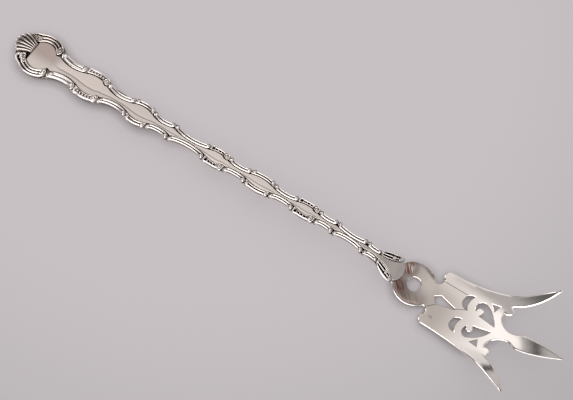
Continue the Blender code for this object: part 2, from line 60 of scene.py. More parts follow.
# %% The bent middle line
SHEET, BAR, BASE, SHOULDER_BASE, HEEL_THICKNESS = 1.2, 2.8, 1.6, 2.0, 0.6
HEART_LENGTH, HEART_CENTRE, HEART_HALF_LENGTH, HEART_HALF_WIDTH = 17.6, 11.3, 9.4, 8.4
SCROLLS = (
    ("waist", 11.5), ("beaded", 9.7), ("waist", 11.7), ("bulge", 8.2), ("waist", 9.1), ("waist", 14.6),
    ("beaded", 7.9), ("waist", 8.9), ("bulge", 9.3), ("waist", 9.5), ("beaded", 8.2), ("waist", 7.2),
    ("waist", 11.5), ("waist", 5.5),
)
JOINTS = np.cumsum([HEART_LENGTH] + [length for kind, length in SCROLLS])
SHOULDER_LENGTH, TONGUE_LENGTH, HEEL_LAP = 7.1, 2.0, 2.9
SHOULDER_START = JOINTS[-1]
SHOULDER_END = SHOULDER_START + SHOULDER_LENGTH
HEEL_END = SHOULDER_END + TONGUE_LENGTH
BOWL_RADIUS, BOWL_DEPTH = 7.5, 0.65
BACK_RIM = HEEL_END - HEEL_LAP
BOWL_CENTRE = BACK_RIM + BOWL_RADIUS
FRONT_RIM = BOWL_CENTRE + BOWL_RADIUS
LOWEST_AHEAD, ARCH_BEHIND, HEEL_ANGLE = 3.6, 16.7, 15
LOWEST = FRONT_RIM + LOWEST_AHEAD
HEEL_SLOPE = math.tan(math.radians(HEEL_ANGLE))
ARCH_AT, ARCH_HALF, HEART_BEND_HALF = BACK_RIM - ARCH_BEHIND, 16.0, 5.0
BLADE_BEND = 70.0


def ramp(along, corner, half):
    """Distance past a corner that is rounded over half on either side."""
    past = along - corner
    return np.where(past <= -half, 0.0, np.where(past >= half, past, (past + half) ** 2 / (4 * half)))


def ease(value, start, end):
    """Smooth step from 0 at the start to 1 at the end."""
    share = np.clip((value - start) / (end - start), 0.0, 1.0)
    return share * share * (3 - 2 * share)


def blade_height(along):
    run = LOWEST - BACK_RIM
    ahead = np.maximum(along - LOWEST, 0.0)
    rise = BLADE_BEND - np.sqrt(BLADE_BEND ** 2 - ahead ** 2)
    dip = HEEL_SLOPE * np.clip(LOWEST - along, 0.0, run) ** 2 / (2 * run)
    return SHEET / 2 + rise + dip + HEEL_SLOPE * np.maximum(BACK_RIM - along, 0.0)


HEEL_RISE = blade_height(BACK_RIM) - SHEET / 2
STEM_SLOPE = (HEEL_RISE + HEEL_SLOPE * (BACK_RIM - ARCH_AT)) / (ARCH_AT - HEART_LENGTH)


def bar_bottom(along):
    climb = STEM_SLOPE * ramp(along, HEART_LENGTH, HEART_BEND_HALF)
    return climb - (STEM_SLOPE + HEEL_SLOPE) * ramp(along, ARCH_AT, ARCH_HALF)


def ledge_height(along):
    share = ease(along, SHOULDER_START, (SHOULDER_START + SHOULDER_END) / 2)
    return bar_bottom(along) + BASE + (SHOULDER_BASE - BASE) * share


def bar_top(along):
    lip = blade_height(along) + SHEET / 2 + HEEL_THICKNESS
    top = bar_bottom(along) + BAR
    return top + (lip - top) * ease(along, SHOULDER_START, HEEL_END)


stem_places = np.linspace(HEART_LENGTH, SHOULDER_START, 400)
print("highest point of the handle's arch:", round(float(bar_top(stem_places).max()), 2), "mm")

# %% [markdown]
# The outline of the handle is an oval round the heart and then a chain of scrolls. A waist draws in between
# its two joints and a bulge swells out, each along a parabola that is bolder near the heart. The plain panel
# runs inside the borders and gives way to a coiled boss near the end of every beaded bulge.

# %% The handle's outline
SAG = {"waist": -0.072, "bulge": 0.085, "beaded": 0.085}
STEM_HALF_WIDTH, STEM_TAPER = 2.3, 35.0
BOLDER_CURVES, BOLD_UNTIL, CALM_FROM = 0.40, 42.0, 76.0
BORDER, BORDER_EXTRA, BORDER_TAPER = 1.42, 1.40, 20.0
FIELD_CENTRE, FIELD_HALF_LENGTH, FIELD_HALF_WIDTH = 11.7, 5.25, 5.6
SHELL_LENGTH, CORNER_START, CORNER_WIDTH, CORNER_SLOPE = 8.2, 5.85, 2.4, 0.74
NECK_START, HEART_NECK = 16.5, 3.1
SHOULDER_HALF_WIDTH, SHOULDER_SWELL, TONGUE_HALF_WIDTH = 4.7, 0.85, 3.6
BOSS_BEFORE_JOINT, BOSS_LENGTH, BOSS_BITE = 1.45, 0.95, 0.28
BEADED_ENDS = [end for end, (kind, length) in zip(JOINTS[1:], SCROLLS) if kind == "beaded"]
BOSS_PLACES = np.array(BEADED_ENDS) - BOSS_BEFORE_JOINT


def oval(along, centre, half_length, half_width):
    share = np.clip(np.abs(along - centre) / half_length, 0.0, 1.0)
    return half_width * np.sqrt(1 - share ** 2)


def border_width(along):
    return BORDER + BORDER_EXTRA * np.exp((HEART_LENGTH - along) / BORDER_TAPER)


def boss_swell(along):
    """1 at the coiled boss near the end of every beaded bulge, 0 away from it."""
    away = (np.asarray(along)[..., None] - BOSS_PLACES) / BOSS_LENGTH
    return np.exp(-away ** 4).sum(axis=-1)


def joint_half_width(along):
    heart = oval(HEART_LENGTH, HEART_CENTRE, HEART_HALF_LENGTH, HEART_HALF_WIDTH)
    return STEM_HALF_WIDTH + (heart - STEM_HALF_WIDTH) * np.exp((HEART_LENGTH - along) / STEM_TAPER)


def scroll_at(along):
    """Number of the scroll that a place along the stem lies in."""
    return np.clip(np.searchsorted(JOINTS, along, side="right") - 1, 0, len(SCROLLS) - 1)


def shoulder_share(along):
    return np.clip((along - SHOULDER_START) / (SHOULDER_END - SHOULDER_START), 0.0, 1.0)


def edge_half_width(along):
    """Half width of the handle from its middle to the outer edge of the borders."""
    number = scroll_at(along)
    lengths = np.array([length for kind, length in SCROLLS])[number]
    sags = np.array([SAG[kind] for kind, length in SCROLLS])[number]
    sags = sags * (1 + BOLDER_CURVES * (1 - ease(JOINTS[number], BOLD_UNTIL, CALM_FROM)))
    share = np.clip((along - JOINTS[number]) / lengths, 0.0, 1.0)
    ends = joint_half_width(JOINTS)
    stem = ends[number] * (1 - share) + ends[number + 1] * share + 4 * sags * lengths * share * (1 - share)
    part = shoulder_share(along)
    shoulder = ends[-1] + (SHOULDER_HALF_WIDTH - ends[-1]) * part + 4 * SHOULDER_SWELL * part * (1 - part)
    heart = oval(along, HEART_CENTRE, HEART_HALF_LENGTH, HEART_HALF_WIDTH)
    return np.where(along <= HEART_LENGTH, heart, np.where(along >= SHOULDER_START, shoulder, stem))


def panel_half_width(along):
    """Half width of the plain panel between the borders."""
    field = oval(along, FIELD_CENTRE, FIELD_HALF_LENGTH, FIELD_HALF_WIDTH)
    at_joint = edge_half_width(np.array([HEART_LENGTH]))[0] - border_width(HEART_LENGTH)
    neck_share = np.clip((along - NECK_START) / (HEART_LENGTH - NECK_START), 0.0, 1.0)
    neck = HEART_NECK + (at_joint - HEART_NECK) * neck_share
    heart = np.where(along > FIELD_CENTRE, np.maximum(field, neck), field)
    corner = CORNER_WIDTH + CORNER_SLOPE * np.maximum(along - CORNER_START, 0.0)
    heart = np.where(along < SHELL_LENGTH, corner, heart)
    stem = edge_half_width(np.minimum(along, SHOULDER_START))
    stem = stem - border_width(along) * (1 + BOSS_BITE * boss_swell(along))
    stem = stem + (TONGUE_HALF_WIDTH - stem) * shoulder_share(along) ** 2
    tongue = oval(along, SHOULDER_END, HEEL_END - SHOULDER_END, TONGUE_HALF_WIDTH)
    return np.where(along <= HEART_LENGTH, heart, np.where(along <= SHOULDER_END, stem, tongue))


print("narrowest place of the stem:", round(2 * float(edge_half_width(stem_places).min()), 2), "mm")

# %% [markdown]
# Long pieces of struck silver are skins: a row of closed sections, side by side. By hand one would add a
# grid, wrap it round the section and close both ends. The helpers below do exactly that with Blender's
# operators. Two numbers ride along with every point as attributes: how deep it lies in a hollow, and how
# thick a film of tarnish lies on it. Both also carry painted shade on some pieces. The materials later use
# them to leave dark grime, a brown film and painted shade there.

# %% A skin from a grid
WELD, SKIN_SHARP = 1e-6, math.radians(50)


def read_points(piece):
    """The three coordinates of all points, each as one row."""
    flat = np.empty(3 * len(piece.data.vertices))
    piece.data.vertices.foreach_get("co", flat)
    return flat.reshape(-1, 3).T


def grid_shares(piece):
    """How far along and how far round each point of a one-metre grid lies, both from 0 to 1."""
    return read_points(piece)[:2] + 0.5


def to_frame(along, across, height):
    """From millimetres along, across and up to metres in the part's frame."""
    return np.stack([along + HANDLE_TIP, across, height], axis=1) * MM


def finish_points(piece, points, hollow_and_shade, film_and_shade):
    """Moves a piece's points to their places and gives each its two numbers for the materials."""
    piece.data.vertices.foreach_set("co", points.ravel())
    piece.data.update()
    for name, values in (("hollow_and_shade", hollow_and_shade), ("film_and_shade", film_and_shade)):
        layer = piece.data.attributes.new(name, "FLOAT", "POINT")
        layer.data.foreach_set("value", values)


def start_grid(name, along_steps, round_steps):
    bpy.ops.object.select_all(action="DESELECT")
    bpy.ops.mesh.primitive_grid_add(x_subdivisions=along_steps, y_subdivisions=round_steps, size=1.0)
    piece = bpy.context.object
    piece.name = piece.data.name = name
    return piece


def close_skin(piece):
    """Welds the seam, fills the open ends, turns the faces outwards and shades the skin smooth."""
    bpy.ops.object.mode_set(mode="EDIT")
    bpy.ops.mesh.select_all(action="SELECT")
    bpy.ops.mesh.remove_doubles(threshold=WELD)
    bpy.ops.mesh.fill_holes(sides=0)
    bpy.ops.mesh.normals_make_consistent(inside=False)
    if bmesh.from_edit_mesh(piece.data).calc_volume(signed=True) < 0:
        bpy.ops.mesh.flip_normals()
    bpy.ops.object.mode_set(mode="OBJECT")
    bpy.ops.object.shade_smooth_by_angle(angle=SKIN_SHARP)
    print(piece.name, len(piece.data.polygons), "faces")
    return piece


print("points closer than", WELD / MM, "mm are welded")

# %% [markdown]
# The handle bar is one such skin. Its back is flat with rounded edges, its top is a softly crowned panel
# between two low ledges that the borders stand on. A crown of a quarter of a millimetre is enough to break
# the reflections into a bright and a darker strip, as polished silver shows them. The strips meet in a
# crease, which keeps further out on the wide lower side.

# %% The shape of the handle bar
PANEL_SLOPE, PANEL_CREASE, CREASE_ROUND, PANEL_ROUND = 0.105, 0.42, 0.10, 0.22
HEART_SLOPE, SHELL_SEAT, BACK_BEVEL, OVERHANG, PANEL_GROOVE = 0.04, 3.6, 0.9, 0.2, 0.22
CREASE_FROM, CREASE_DRIFT = 1.2, 0.42
SOLDER, TONGUE_EDGE, TONGUE_LEDGE, SHELL_STEP, RABBET_LENGTH = 0.1, 0.1, 0.5, 0.2, 3.2
RABBET_START = BACK_RIM - RABBET_LENGTH
TILT_STARTS, TILT_ENDS = (HEART_LENGTH - 1, HEART_LENGTH + 5), (SHOULDER_START - 4, SHOULDER_START + 2)
CREASE_STARTS, GROOVE_ENDS = (HEART_LENGTH, HEART_LENGTH + 3), (SHOULDER_END - 1, SHOULDER_END)
BAR_STEPS, BAR_PROFILE, BAR_START, CROWDING = 760, 120, 2.2, 0.92
BACK_PART, CORNER_PART, SHELF_PART = (0.0, 0.2), (0.2, 0.2), (0.4, 0.1)
EDGE_PART, FACE_PART = (0.5, 0.15), (0.65, 0.35)


def crowd_ends(share):
    """Spaces the sections closer together at both ends of a skin."""
    return share - CROWDING * np.sin(2 * math.pi * share) / (2 * math.pi)


def along_part(half, start, length):
    """How far along one part of the half section a point lies, from 0 to 1."""
    return np.clip((half - start) / length, 0.0, 1.0)


def panel_tilt(along):
    """Slope of the panel's two flanks, which fades out at the shell and at the heel."""
    tilt = HEART_SLOPE + (PANEL_SLOPE - HEART_SLOPE) * ease(along, *TILT_STARTS)
    tilt = tilt * (1 - ease(along, *TILT_ENDS))
    return tilt * ease(along, SHELL_LENGTH - SHELL_STEP, SHELL_LENGTH)


def crease_place(along, side, panel):
    """Distance from the middle at which the panel creases."""
    drift = CREASE_DRIFT * np.maximum(panel - CREASE_FROM, 0.0) * ease(along, *CREASE_STARTS)
    return PANEL_CREASE + np.where(side < 0, drift, 0.0)


def bar_edges(along):
    """Heights of the bar's back, ledge and top, and the half widths of its base and panel."""
    bottom = np.where(along >= RABBET_START, blade_height(along) + SHEET / 2 + SOLDER, bar_bottom(along))
    ledge = ledge_height(along)
    top = ledge + (bar_top(along) - ledge) * ease(along, SHELL_LENGTH - SHELL_STEP, SHELL_LENGTH)
    base = edge_half_width(along) - OVERHANG
    panel = panel_half_width(along) - PANEL_GROOVE * (1 - ease(along, *GROOVE_ENDS))
    under_shell = along <= SHELL_LENGTH
    seat = oval(along, SHELL_LENGTH, SHELL_LENGTH - BAR_START, SHELL_SEAT)
    base = np.where(under_shell, np.maximum(base, seat), base)
    panel = np.where(under_shell, np.maximum(panel, base / 2), panel)
    tongue = along > SHOULDER_END
    base = np.where(tongue, panel + TONGUE_EDGE, base)
    ledge = np.where(tongue, np.minimum(ledge, top - TONGUE_LEDGE), ledge)
    return bottom, ledge, top, base, panel


def bar_points(share, turn):
    """Places on the bar's skin, with the side, the share of the half section and the crease beside them."""
    along = BAR_START + (HEEL_END - BAR_START) * crowd_ends(share)
    bottom, ledge, top, base, panel = bar_edges(along)
    side = np.where(turn < 0.5, -1.0, 1.0)
    half = 1 - np.abs(2 * turn - 1)
    face = half > FACE_PART[0]
    bevel = np.minimum(BACK_BEVEL, base / 2)
    rounding = np.minimum(PANEL_ROUND, panel / 2)
    corner = along_part(half, *CORNER_PART) * math.pi / 2
    edge = along_part(half, *EDGE_PART) * math.pi / 2
    across = along_part(half, *BACK_PART) * (base - bevel) + np.sin(corner) * bevel
    across = across - along_part(half, *SHELF_PART) * (base - panel) - (1 - np.cos(edge)) * rounding
    across = np.where(face, (panel - rounding) * (1 - along_part(half, *FACE_PART)), across)
    tilt = panel_tilt(along)
    crease_at = crease_place(along, side, panel)
    shoulder = top - tilt * np.maximum(panel - rounding - crease_at, 0.0)
    low = np.maximum(shoulder - rounding, ledge)
    height = bottom + (1 - np.cos(corner)) * (ledge - bottom)
    height = np.where(half > EDGE_PART[0], low + (shoulder - low) * np.sin(edge), height)
    height = np.where(face, top - tilt * ramp(across, crease_at, CREASE_ROUND), height)
    return along, side, across, height, half, crease_at


print("handle bar:", BAR_STEPS, "sections with", BAR_PROFILE, "points each")

# %% [markdown]
# Old silver is never evenly bright. Grime sits in the grooves beside the panel and under the shell, and a
# thin film dulls the panel, ever less towards the heel. Painted shade adds a dark line along the crease and
# darkens the near strip below it beside the heart. The heart's far half keeps an extra film with painted
# shade, and a painted sheen lightens its near half.

# %% The handle bar, its tarnish and its painted shade
GROOVE_START, GROOVE_END, UNDER_SHELL = 0.38, 0.58, 0.15
CREASE_WIDTH, CREASE_PAINTED_SHADE, CREASE_SHADE_GROWS = 0.14, 0.75, (HEART_LENGTH - 2, HEART_LENGTH + 3)
HEART_JOINT_SHINE, JOINT_REACH = 0.45, 1.2
HEART_FILM_AND_SHADE, HEART_PAINTED_SHEEN, HEART_PAINTED_SHEEN_PLACE = 0.24, 0.90, (-1.0, 4.0)
HEART_FILM_ENDS, HEEL_PLACE = (NECK_START, HEART_LENGTH + 3), (SHOULDER_START - 6, SHOULDER_END)
PANEL_FILM, HEEL_FILM, STEM_SHINE, STEM_SHINE_PLACE = 0.47, -0.10, 0.14, (50.0, 95.0)
LOWER_PAINTED_SHADE, LOWER_SHADE_STARTS, HEART_REACH = 0.09, (HEART_LENGTH, HEART_LENGTH + 5), (45.0, 75.0)


def bar_tarnish_and_shade(along, side, across, half, crease_at):
    beside_joint = np.exp(-((along - HEART_LENGTH) / JOINT_REACH) ** 2)
    grooves = (half > GROOVE_START) & (half < GROOVE_END)
    hollow_and_shade = np.where(grooves, 1 - HEART_JOINT_SHINE * beside_joint, 0.0)
    # A painted dark line along the crease on the near half, where the panel's reflections change.
    painted_crease_line = np.exp(-((across - crease_at) / CREASE_WIDTH) ** 2) * (side < 0) * (half > FACE_PART[0])
    painted_crease_line = painted_crease_line * panel_tilt(along) / PANEL_SLOPE * ease(along, *CREASE_SHADE_GROWS)
    under_ribs = (along < SHELL_LENGTH - UNDER_SHELL) & (half > GROOVE_START)
    hollow_and_shade = np.maximum(np.maximum(hollow_and_shade, CREASE_PAINTED_SHADE * painted_crease_line), under_ribs)
    # Painted sheen: the heart's extra film thins on its near half, so its far half stays darker with painted
    # shade.
    painted_lit_half = 1 - HEART_PAINTED_SHEEN * ease(-side * across, *HEART_PAINTED_SHEEN_PLACE)
    film_and_shade = HEART_FILM_AND_SHADE * painted_lit_half * (1 - ease(along, *HEART_FILM_ENDS))
    film_and_shade = film_and_shade + HEEL_FILM * ease(along, *HEEL_PLACE)
    film_and_shade = film_and_shade + PANEL_FILM - STEM_SHINE * ease(along, *STEM_SHINE_PLACE)
    # Painted shade: more film on the near half's strip beyond the crease, close to the heart.
    painted_lower_strip = (side < 0) * ease(across - crease_at, -CREASE_ROUND, CREASE_ROUND)
    near_heart = ease(along, *LOWER_SHADE_STARTS) * (1 - ease(along, *HEART_REACH))
    return hollow_and_shade, film_and_shade + LOWER_PAINTED_SHADE * painted_lower_strip * near_heart


def handle_bar():
    piece = start_grid("polished_handle_bar", BAR_STEPS, BAR_PROFILE)
    along, side, across, height, half, crease_at = bar_points(*grid_shares(piece))
    tarnish_and_shade = bar_tarnish_and_shade(along, side, across, half, crease_at)
    finish_points(piece, to_frame(along, side * across, height), *tarnish_and_shade)
    return close_skin(piece)


handle = handle_bar()

# %% [markdown]
# Each border is a chain of scrolls struck from one die. A scroll is drawn as a relief on a fine grid. In a
# waist two rolls follow the outline at a fixed depth, so at both ends they turn round like a loop, with a
# dark slit between them. The frame of the heart has three rolls side by side. A small ball sits at both ends
# of every waist and every plain bulge, in a dark moat.

# %% Rolls and balls
JOINT_GAP, ROLL_FOOT, SLIT_FLOOR, HOLLOW_FLOOR, GAP_FLOOR = 0.12, 0.76, 0.48, 0.40, 0.30
SLIT, ROLL_LEAN, TRIPLE_STEP, TRIPLE_FILL = 0.30, -0.09, 1.30, 0.60
BALL_RADIUS, BALL_HEIGHT, BALL_MOAT, BALL_MIDDLE = 0.32, 1.04, 1.16, 0.52


def dome(distance, radius):
    return np.sqrt(np.clip(1 - (distance / radius) ** 2, 0.0, 1.0))


def mound(distance, radius, top=1.0):
    """Height of a round form on its foot, 0 outside it."""
    return np.where(distance < radius, ROLL_FOOT + (top - ROLL_FOOT) * dome(distance, radius), 0.0)


def roll_height(depth, start, wide):
    """Half-round roll that starts at a depth in from the outline."""
    return mound(np.abs(depth - start - wide / 2), wide / 2)


def ball(relief, run, offset, centre, middle, radius):
    """Sets a round ball with a dark moat into a relief."""
    reach = np.hypot(run - centre, offset - middle) / radius
    relief = np.where(reach < BALL_MOAT, np.minimum(relief, SLIT_FLOOR), relief)
    return np.where(reach < 1, mound(reach, 1.0, BALL_HEIGHT), relief)


def loop_relief(run, offset, length, width, triple):
    """Rolls that follow a scroll's outline: two with a slit between them, or three side by side."""
    half = width / 2
    past_end = np.maximum(np.abs(run - length / 2) - (length / 2 - JOINT_GAP - half), 0.0)
    depth = half - np.hypot(past_end, offset - half)
    outward = np.clip((offset - half) / half * 2, -1.0, 1.0)
    pair = (width - SLIT) / 2 + ROLL_LEAN * outward * width
    wide = np.where(triple, TRIPLE_FILL * half / TRIPLE_STEP, pair)
    height = np.maximum(roll_height(depth, 0.0, wide), SLIT_FLOOR)
    height = np.where(triple, np.maximum(height, roll_height(depth, half / TRIPLE_STEP, wide)), height)
    return np.where(depth < 0, GAP_FLOOR, height)


print("scrolls on each side of the stem:", len(SCROLLS))

# %% [markdown]
# A bulge has one bold outer roll and a thin inner rim with a dark hollow between them. The hollow of a beaded
# bulge holds a row of pearls and, near its far end, a coiled boss: a ring round a pearl. The shoulders have a
# thin vein in theirs. A higher form always wins over a lower one, as in a die that is cut form by form.

# %% Bulges, pearls and bosses
# Widths of the outer roll and the inner rim, in shares of the border's width.
ROLLS = {"waist": (0.42, 0.13), "frame": (0.42, 0.13), "beaded": (0.42, 0.13), "bulge": (0.42, 0.28),
         "shoulder": (0.24, 0.10)}
VEIN, PEARL_PITCH, PEARL_RADIUS, PEARLS_FROM = 0.15, 1.20, 0.155, 0.8
BOSS_RING, BOSS_RING_HALF, BOSS_PEARL = 0.80, 0.20, 0.42
BOSS_LEAST, BOSS_GROWTH, BOSS_MARGIN = 0.20, 0.38, 0.06


def set_boss(relief, run, offset, centre, middle, radius):
    """Sets a coiled boss with a dark moat into a relief."""
    reach = np.hypot(run - centre, offset - middle) / radius
    relief = np.where(reach < BALL_MOAT, np.minimum(relief, HOLLOW_FLOOR), relief)
    boss = np.maximum(mound(np.abs(reach - BOSS_RING), BOSS_RING_HALF), mound(reach, BOSS_PEARL, BALL_HEIGHT))
    return np.where(reach < 1, np.maximum(boss, HOLLOW_FLOOR), relief)


def bulge_relief(run, offset, length, width, plain, kind):
    """Outer roll, dark hollow and inner rim, with what the hollow of each kind of scroll holds."""
    outer_roll, inner_rim = np.array([ROLLS[name] for name in kind]).T * plain
    from_edge = width - offset
    to_end = length / 2 - np.abs(run - length / 2) - JOINT_GAP
    corner = np.hypot(np.maximum(plain / 2 - to_end, 0.0), np.maximum(plain / 2 - from_edge, 0.0))
    outline = np.minimum(np.minimum(to_end, from_edge), plain / 2 - corner)
    relief = np.maximum(roll_height(outline, 0.0, outer_roll), roll_height(offset, 0.0, inner_rim))
    relief = np.where(outline > 0, np.maximum(relief, HOLLOW_FLOOR), GAP_FLOOR)
    middle = (inner_rim + plain - outer_roll) / 2
    vein = np.where(outline > 0, roll_height(offset, middle - VEIN / 2 * plain, VEIN * plain), 0.0)
    relief = np.where(kind == "shoulder", np.maximum(relief, vein), relief)
    off_pearl = np.hypot(np.mod(run, PEARL_PITCH) - PEARL_PITCH / 2, offset - middle)
    clear = (run > PEARLS_FROM) & (run < length - BOSS_BEFORE_JOINT - BOSS_LENGTH)
    beaded = np.where(clear, np.maximum(relief, mound(off_pearl, PEARL_RADIUS * plain)), relief)
    radius = BOSS_LEAST + BOSS_GROWTH * plain
    beaded = set_boss(beaded, run, offset, length - BOSS_BEFORE_JOINT, radius + BOSS_MARGIN, radius)
    return np.where(kind == "beaded", beaded, relief)


print("coiled bosses on each side of the stem:", len(BOSS_PLACES))

# %% [markdown]
# Now every scroll's own relief is put in its place along a border. The frames of the heart carry three bosses
# each, and a shoulder carries one boss and one ball.

# %% The relief of a whole border
# Each has its place along the fork, its share of the border's width and its radius.
FRAME_BOSSES = ((5.7, 0.30, 0.70), (7.5, 0.25, 0.80), (16.2, 0.45, 1.05))
SHOULDER_BALL, SHOULDER_BOSS = (154.6, 0.36, 0.55), (156.6, 0.42, 0.62)


def border_relief(along, inner, outer, share, joints, kinds):
    """Height of the ornament, 1 on the crest of a roll, at places along a border and shares of its width."""
    number = np.clip(np.searchsorted(joints[:-1], along, side="right") - 1, 0, len(kinds) - 1)
    width = outer - inner
    plain = np.where(along > SHOULDER_START, width, np.minimum(border_width(along), width))
    run = along - joints[number]
    length = np.diff(joints)[number]
    offset = share * width
    kind = np.array(kinds)[number]
    loop = loop_relief(run, offset, length, width, kind == "frame")
    swollen = bulge_relief(run, offset, length, width, plain, kind)
    relief = np.where((kind == "waist") | (kind == "frame"), loop, swollen)
    ends_in_balls = (kind == "waist") | (kind == "bulge")
    for centre in (JOINT_GAP + width / 2, length - JOINT_GAP - width / 2):
        balled = ball(relief, run, offset, centre, BALL_MIDDLE * width, BALL_RADIUS * width)
        relief = np.where(ends_in_balls, balled, relief)
    bosses = {"frame": FRAME_BOSSES, "shoulder": (SHOULDER_BOSS,)}.get(kinds[0], ())
    for place, middle, radius in bosses:
        relief = set_boss(relief, along, offset, place, middle * width, radius)
    if kinds[0] == "shoulder":
        place, middle, radius = SHOULDER_BALL
        relief = ball(relief, along, offset, place, middle * width, radius)
    return relief


print("bosses on each frame of the heart:", len(FRAME_BOSSES))

# %% [markdown]
# Six borders use this relief: a frame on either side of the heart, a long chain on either side of the stem
# and a shoulder on either side of the heel. Each is a skin whose sections run up over the relief and back
# along the flat seat. The outline swells round the balls beside a joint and draws in at the joint itself.
# Where the relief lies lower than its surroundings the hollow attribute grows.

# %% The borders
FRAME_START, SEAT_GAP, ROLL_RISE, TOP_SHARE = 3.8, 0.1, 0.25, 0.92
FLANK_WIDTH, FLANK_DROP, PANEL_GAP, LEAST_BORDER = 0.5, 0.5, 0.02, 0.4
JOINT_SWELL, JOINT_SPREAD, JOINT_NOTCH, NOTCH_SPREAD = 0.46, 0.80, 0.34, 0.3
FAR_FRAME_PAINTED_SHADE, CLEANER_HOLLOWS = 0.38, 0.30
SOFT_REACH, SUNK_GAIN, FOOT_GAIN, FOOT_MARGIN, GRID_DIGITS = 3, 2.5, 4.0, 0.02, 6
SHELL_FOCUS, SHELL_HALF_ANGLE, SHELL_SHIFT = 12.5, math.radians(24.5), 0.95
BESIDE_SHELL_UNTIL, SHELL_GAP, SHELL_BASE_GAP = 6.0, 0.12, 0.1
BORDERS = (
    ("heart_scroll_", "chased_heart_frame_", (FRAME_START, HEART_LENGTH), ["frame"], (190, 80)),
    ("stem_border_", "chased_stem_scrolls_", JOINTS, [kind for kind, length in SCROLLS], (1700, 48)),
    ("shoulder_scroll_", "chased_shoulder_scroll_", (SHOULDER_START, SHOULDER_END), ["shoulder"], (110, 56)),
)


def joint_swell(along):
    """How far the outline swells round the balls beside each joint and draws in at the joint itself."""
    away = np.abs(np.asarray(along)[..., None] - JOINTS[1:-1])
    flare = JOINT_SWELL * np.exp(-((away - BORDER / 2) / JOINT_SPREAD) ** 2)
    swell = flare - JOINT_NOTCH * np.exp(-(away / NOTCH_SPREAD) ** 2)
    return swell.sum(axis=-1)


def soften(grid, reach):
    """Average of a grid of heights over a small square round each point."""
    padded = np.pad(grid, reach, mode="edge")
    squares = np.lib.stride_tricks.sliding_window_view(padded, (2 * reach + 1, 2 * reach + 1))
    return squares.mean(axis=(2, 3))


def sunken(share, turn, relief):
    """How far each point lies below its surroundings or below the foot of the rolls, from 0 to 1."""
    share, turn = np.round(share, GRID_DIGITS), np.round(turn, GRID_DIGITS)
    order = np.lexsort((turn, share))
    grid = relief[order].reshape(len(np.unique(share)), -1)
    below = (soften(grid, SOFT_REACH) - grid) * SUNK_GAIN + (ROLL_FOOT - FOOT_MARGIN - grid) * FOOT_GAIN
    hollow_and_shade = np.empty_like(relief)
    hollow_and_shade[order] = np.clip(below, 0.0, 1.0).ravel()
    return hollow_and_shade


def border_edges(along, side):
    """Distances from the middle between which a border lies. At its start it leans on the shell."""
    outer = edge_half_width(along) + joint_swell(along)
    beside_shell = (SHELL_FOCUS - along) * math.tan(SHELL_HALF_ANGLE) + side * SHELL_SHIFT + SHELL_GAP
    free = ease(along, BESIDE_SHELL_UNTIL, SHELL_LENGTH - SHELL_BASE_GAP)
    inner = beside_shell + (panel_half_width(along) - beside_shell) * free
    return np.minimum(inner + PANEL_GAP, outer - LEAST_BORDER), outer


def border(name, side, joints, kinds, along_steps, round_steps):
    piece = start_grid(name, along_steps, round_steps)
    share, turn = grid_shares(piece)
    first = joints[0] + JOINT_GAP
    along = first + (joints[-1] - JOINT_GAP - first) * share
    over = np.clip(turn / TOP_SHARE, 0.0, 1.0)
    back = np.clip((turn - TOP_SHARE) / (1 - TOP_SHARE), 0.0, 1.0)
    under = turn > TOP_SHARE
    inner, outer = border_edges(along, side)
    relief = border_relief(along, inner, outer, over, np.array(joints), kinds)
    seat = ledge_height(along) + SEAT_GAP
    full = bar_top(along) + ROLL_RISE - seat
    across = np.where(under, outer + (inner - outer) * back, inner + (outer - inner) * over)
    flank = np.clip(1 - (outer - inner) * (1 - over) / FLANK_WIDTH, 0.0, 1.0)
    height = np.where(under, seat, seat + full * (relief - FLANK_DROP * relief * (1 - dome(flank, 1.0))))
    near_heart = ease(along, HEART_LENGTH - JOINT_REACH, HEART_LENGTH) * (1 - ease(along, *HEART_REACH))
    hollow_and_shade = np.where(under, 1.0, sunken(share, turn, relief) * (1 - CLEANER_HOLLOWS * near_heart))
    # Painted shade: the heart's frame on the far side alone gets a film that darkens it.
    film_and_shade = np.where((side > 0) & (along < HEART_LENGTH), FAR_FRAME_PAINTED_SHADE, 0.0)
    finish_points(piece, to_frame(along, side * across, height), hollow_and_shade, film_and_shade)
    return close_skin(piece)


borders = {}
for label, side in (("left", 1), ("right", -1)):
    for node, name, joints, kinds, grid in BORDERS:
        borders[node + label] = border(name + label, side, joints, kinds, *grid)

# %% [markdown]
# The shell on the handle's end is a fan of round ribs with deep flutes between them. Its grid runs from the
# straight base beside the heart out to a scalloped rim, and from one side of the fan to the other.

# %% The shell
SHELL_HALF_WIDTH, SHELL_TIP, SHELL_FILM = 4.15, 0.45, 0.50
SHELL_HEIGHT, SHELL_RIM_HEIGHT, SHELL_RIBS, FLUTE_DEPTH, SCALLOP = 2.2, 1.0, 6, 0.6, 0.13
SWELL_FROM, SWELL_SPAN, SWELL_FULLNESS = 0.10, 0.86, 0.6
FLUTE_OPEN_AT, FLUTE_RISE_AT, FLUTE_RISE = 0.15, 0.86, 0.6
FLUTE_DARK_FROM, FLUTE_DARK_GAIN = 0.92, 2.4
WALL, TOP, SHELL_GRID = 0.08, 0.85, (168, 48)


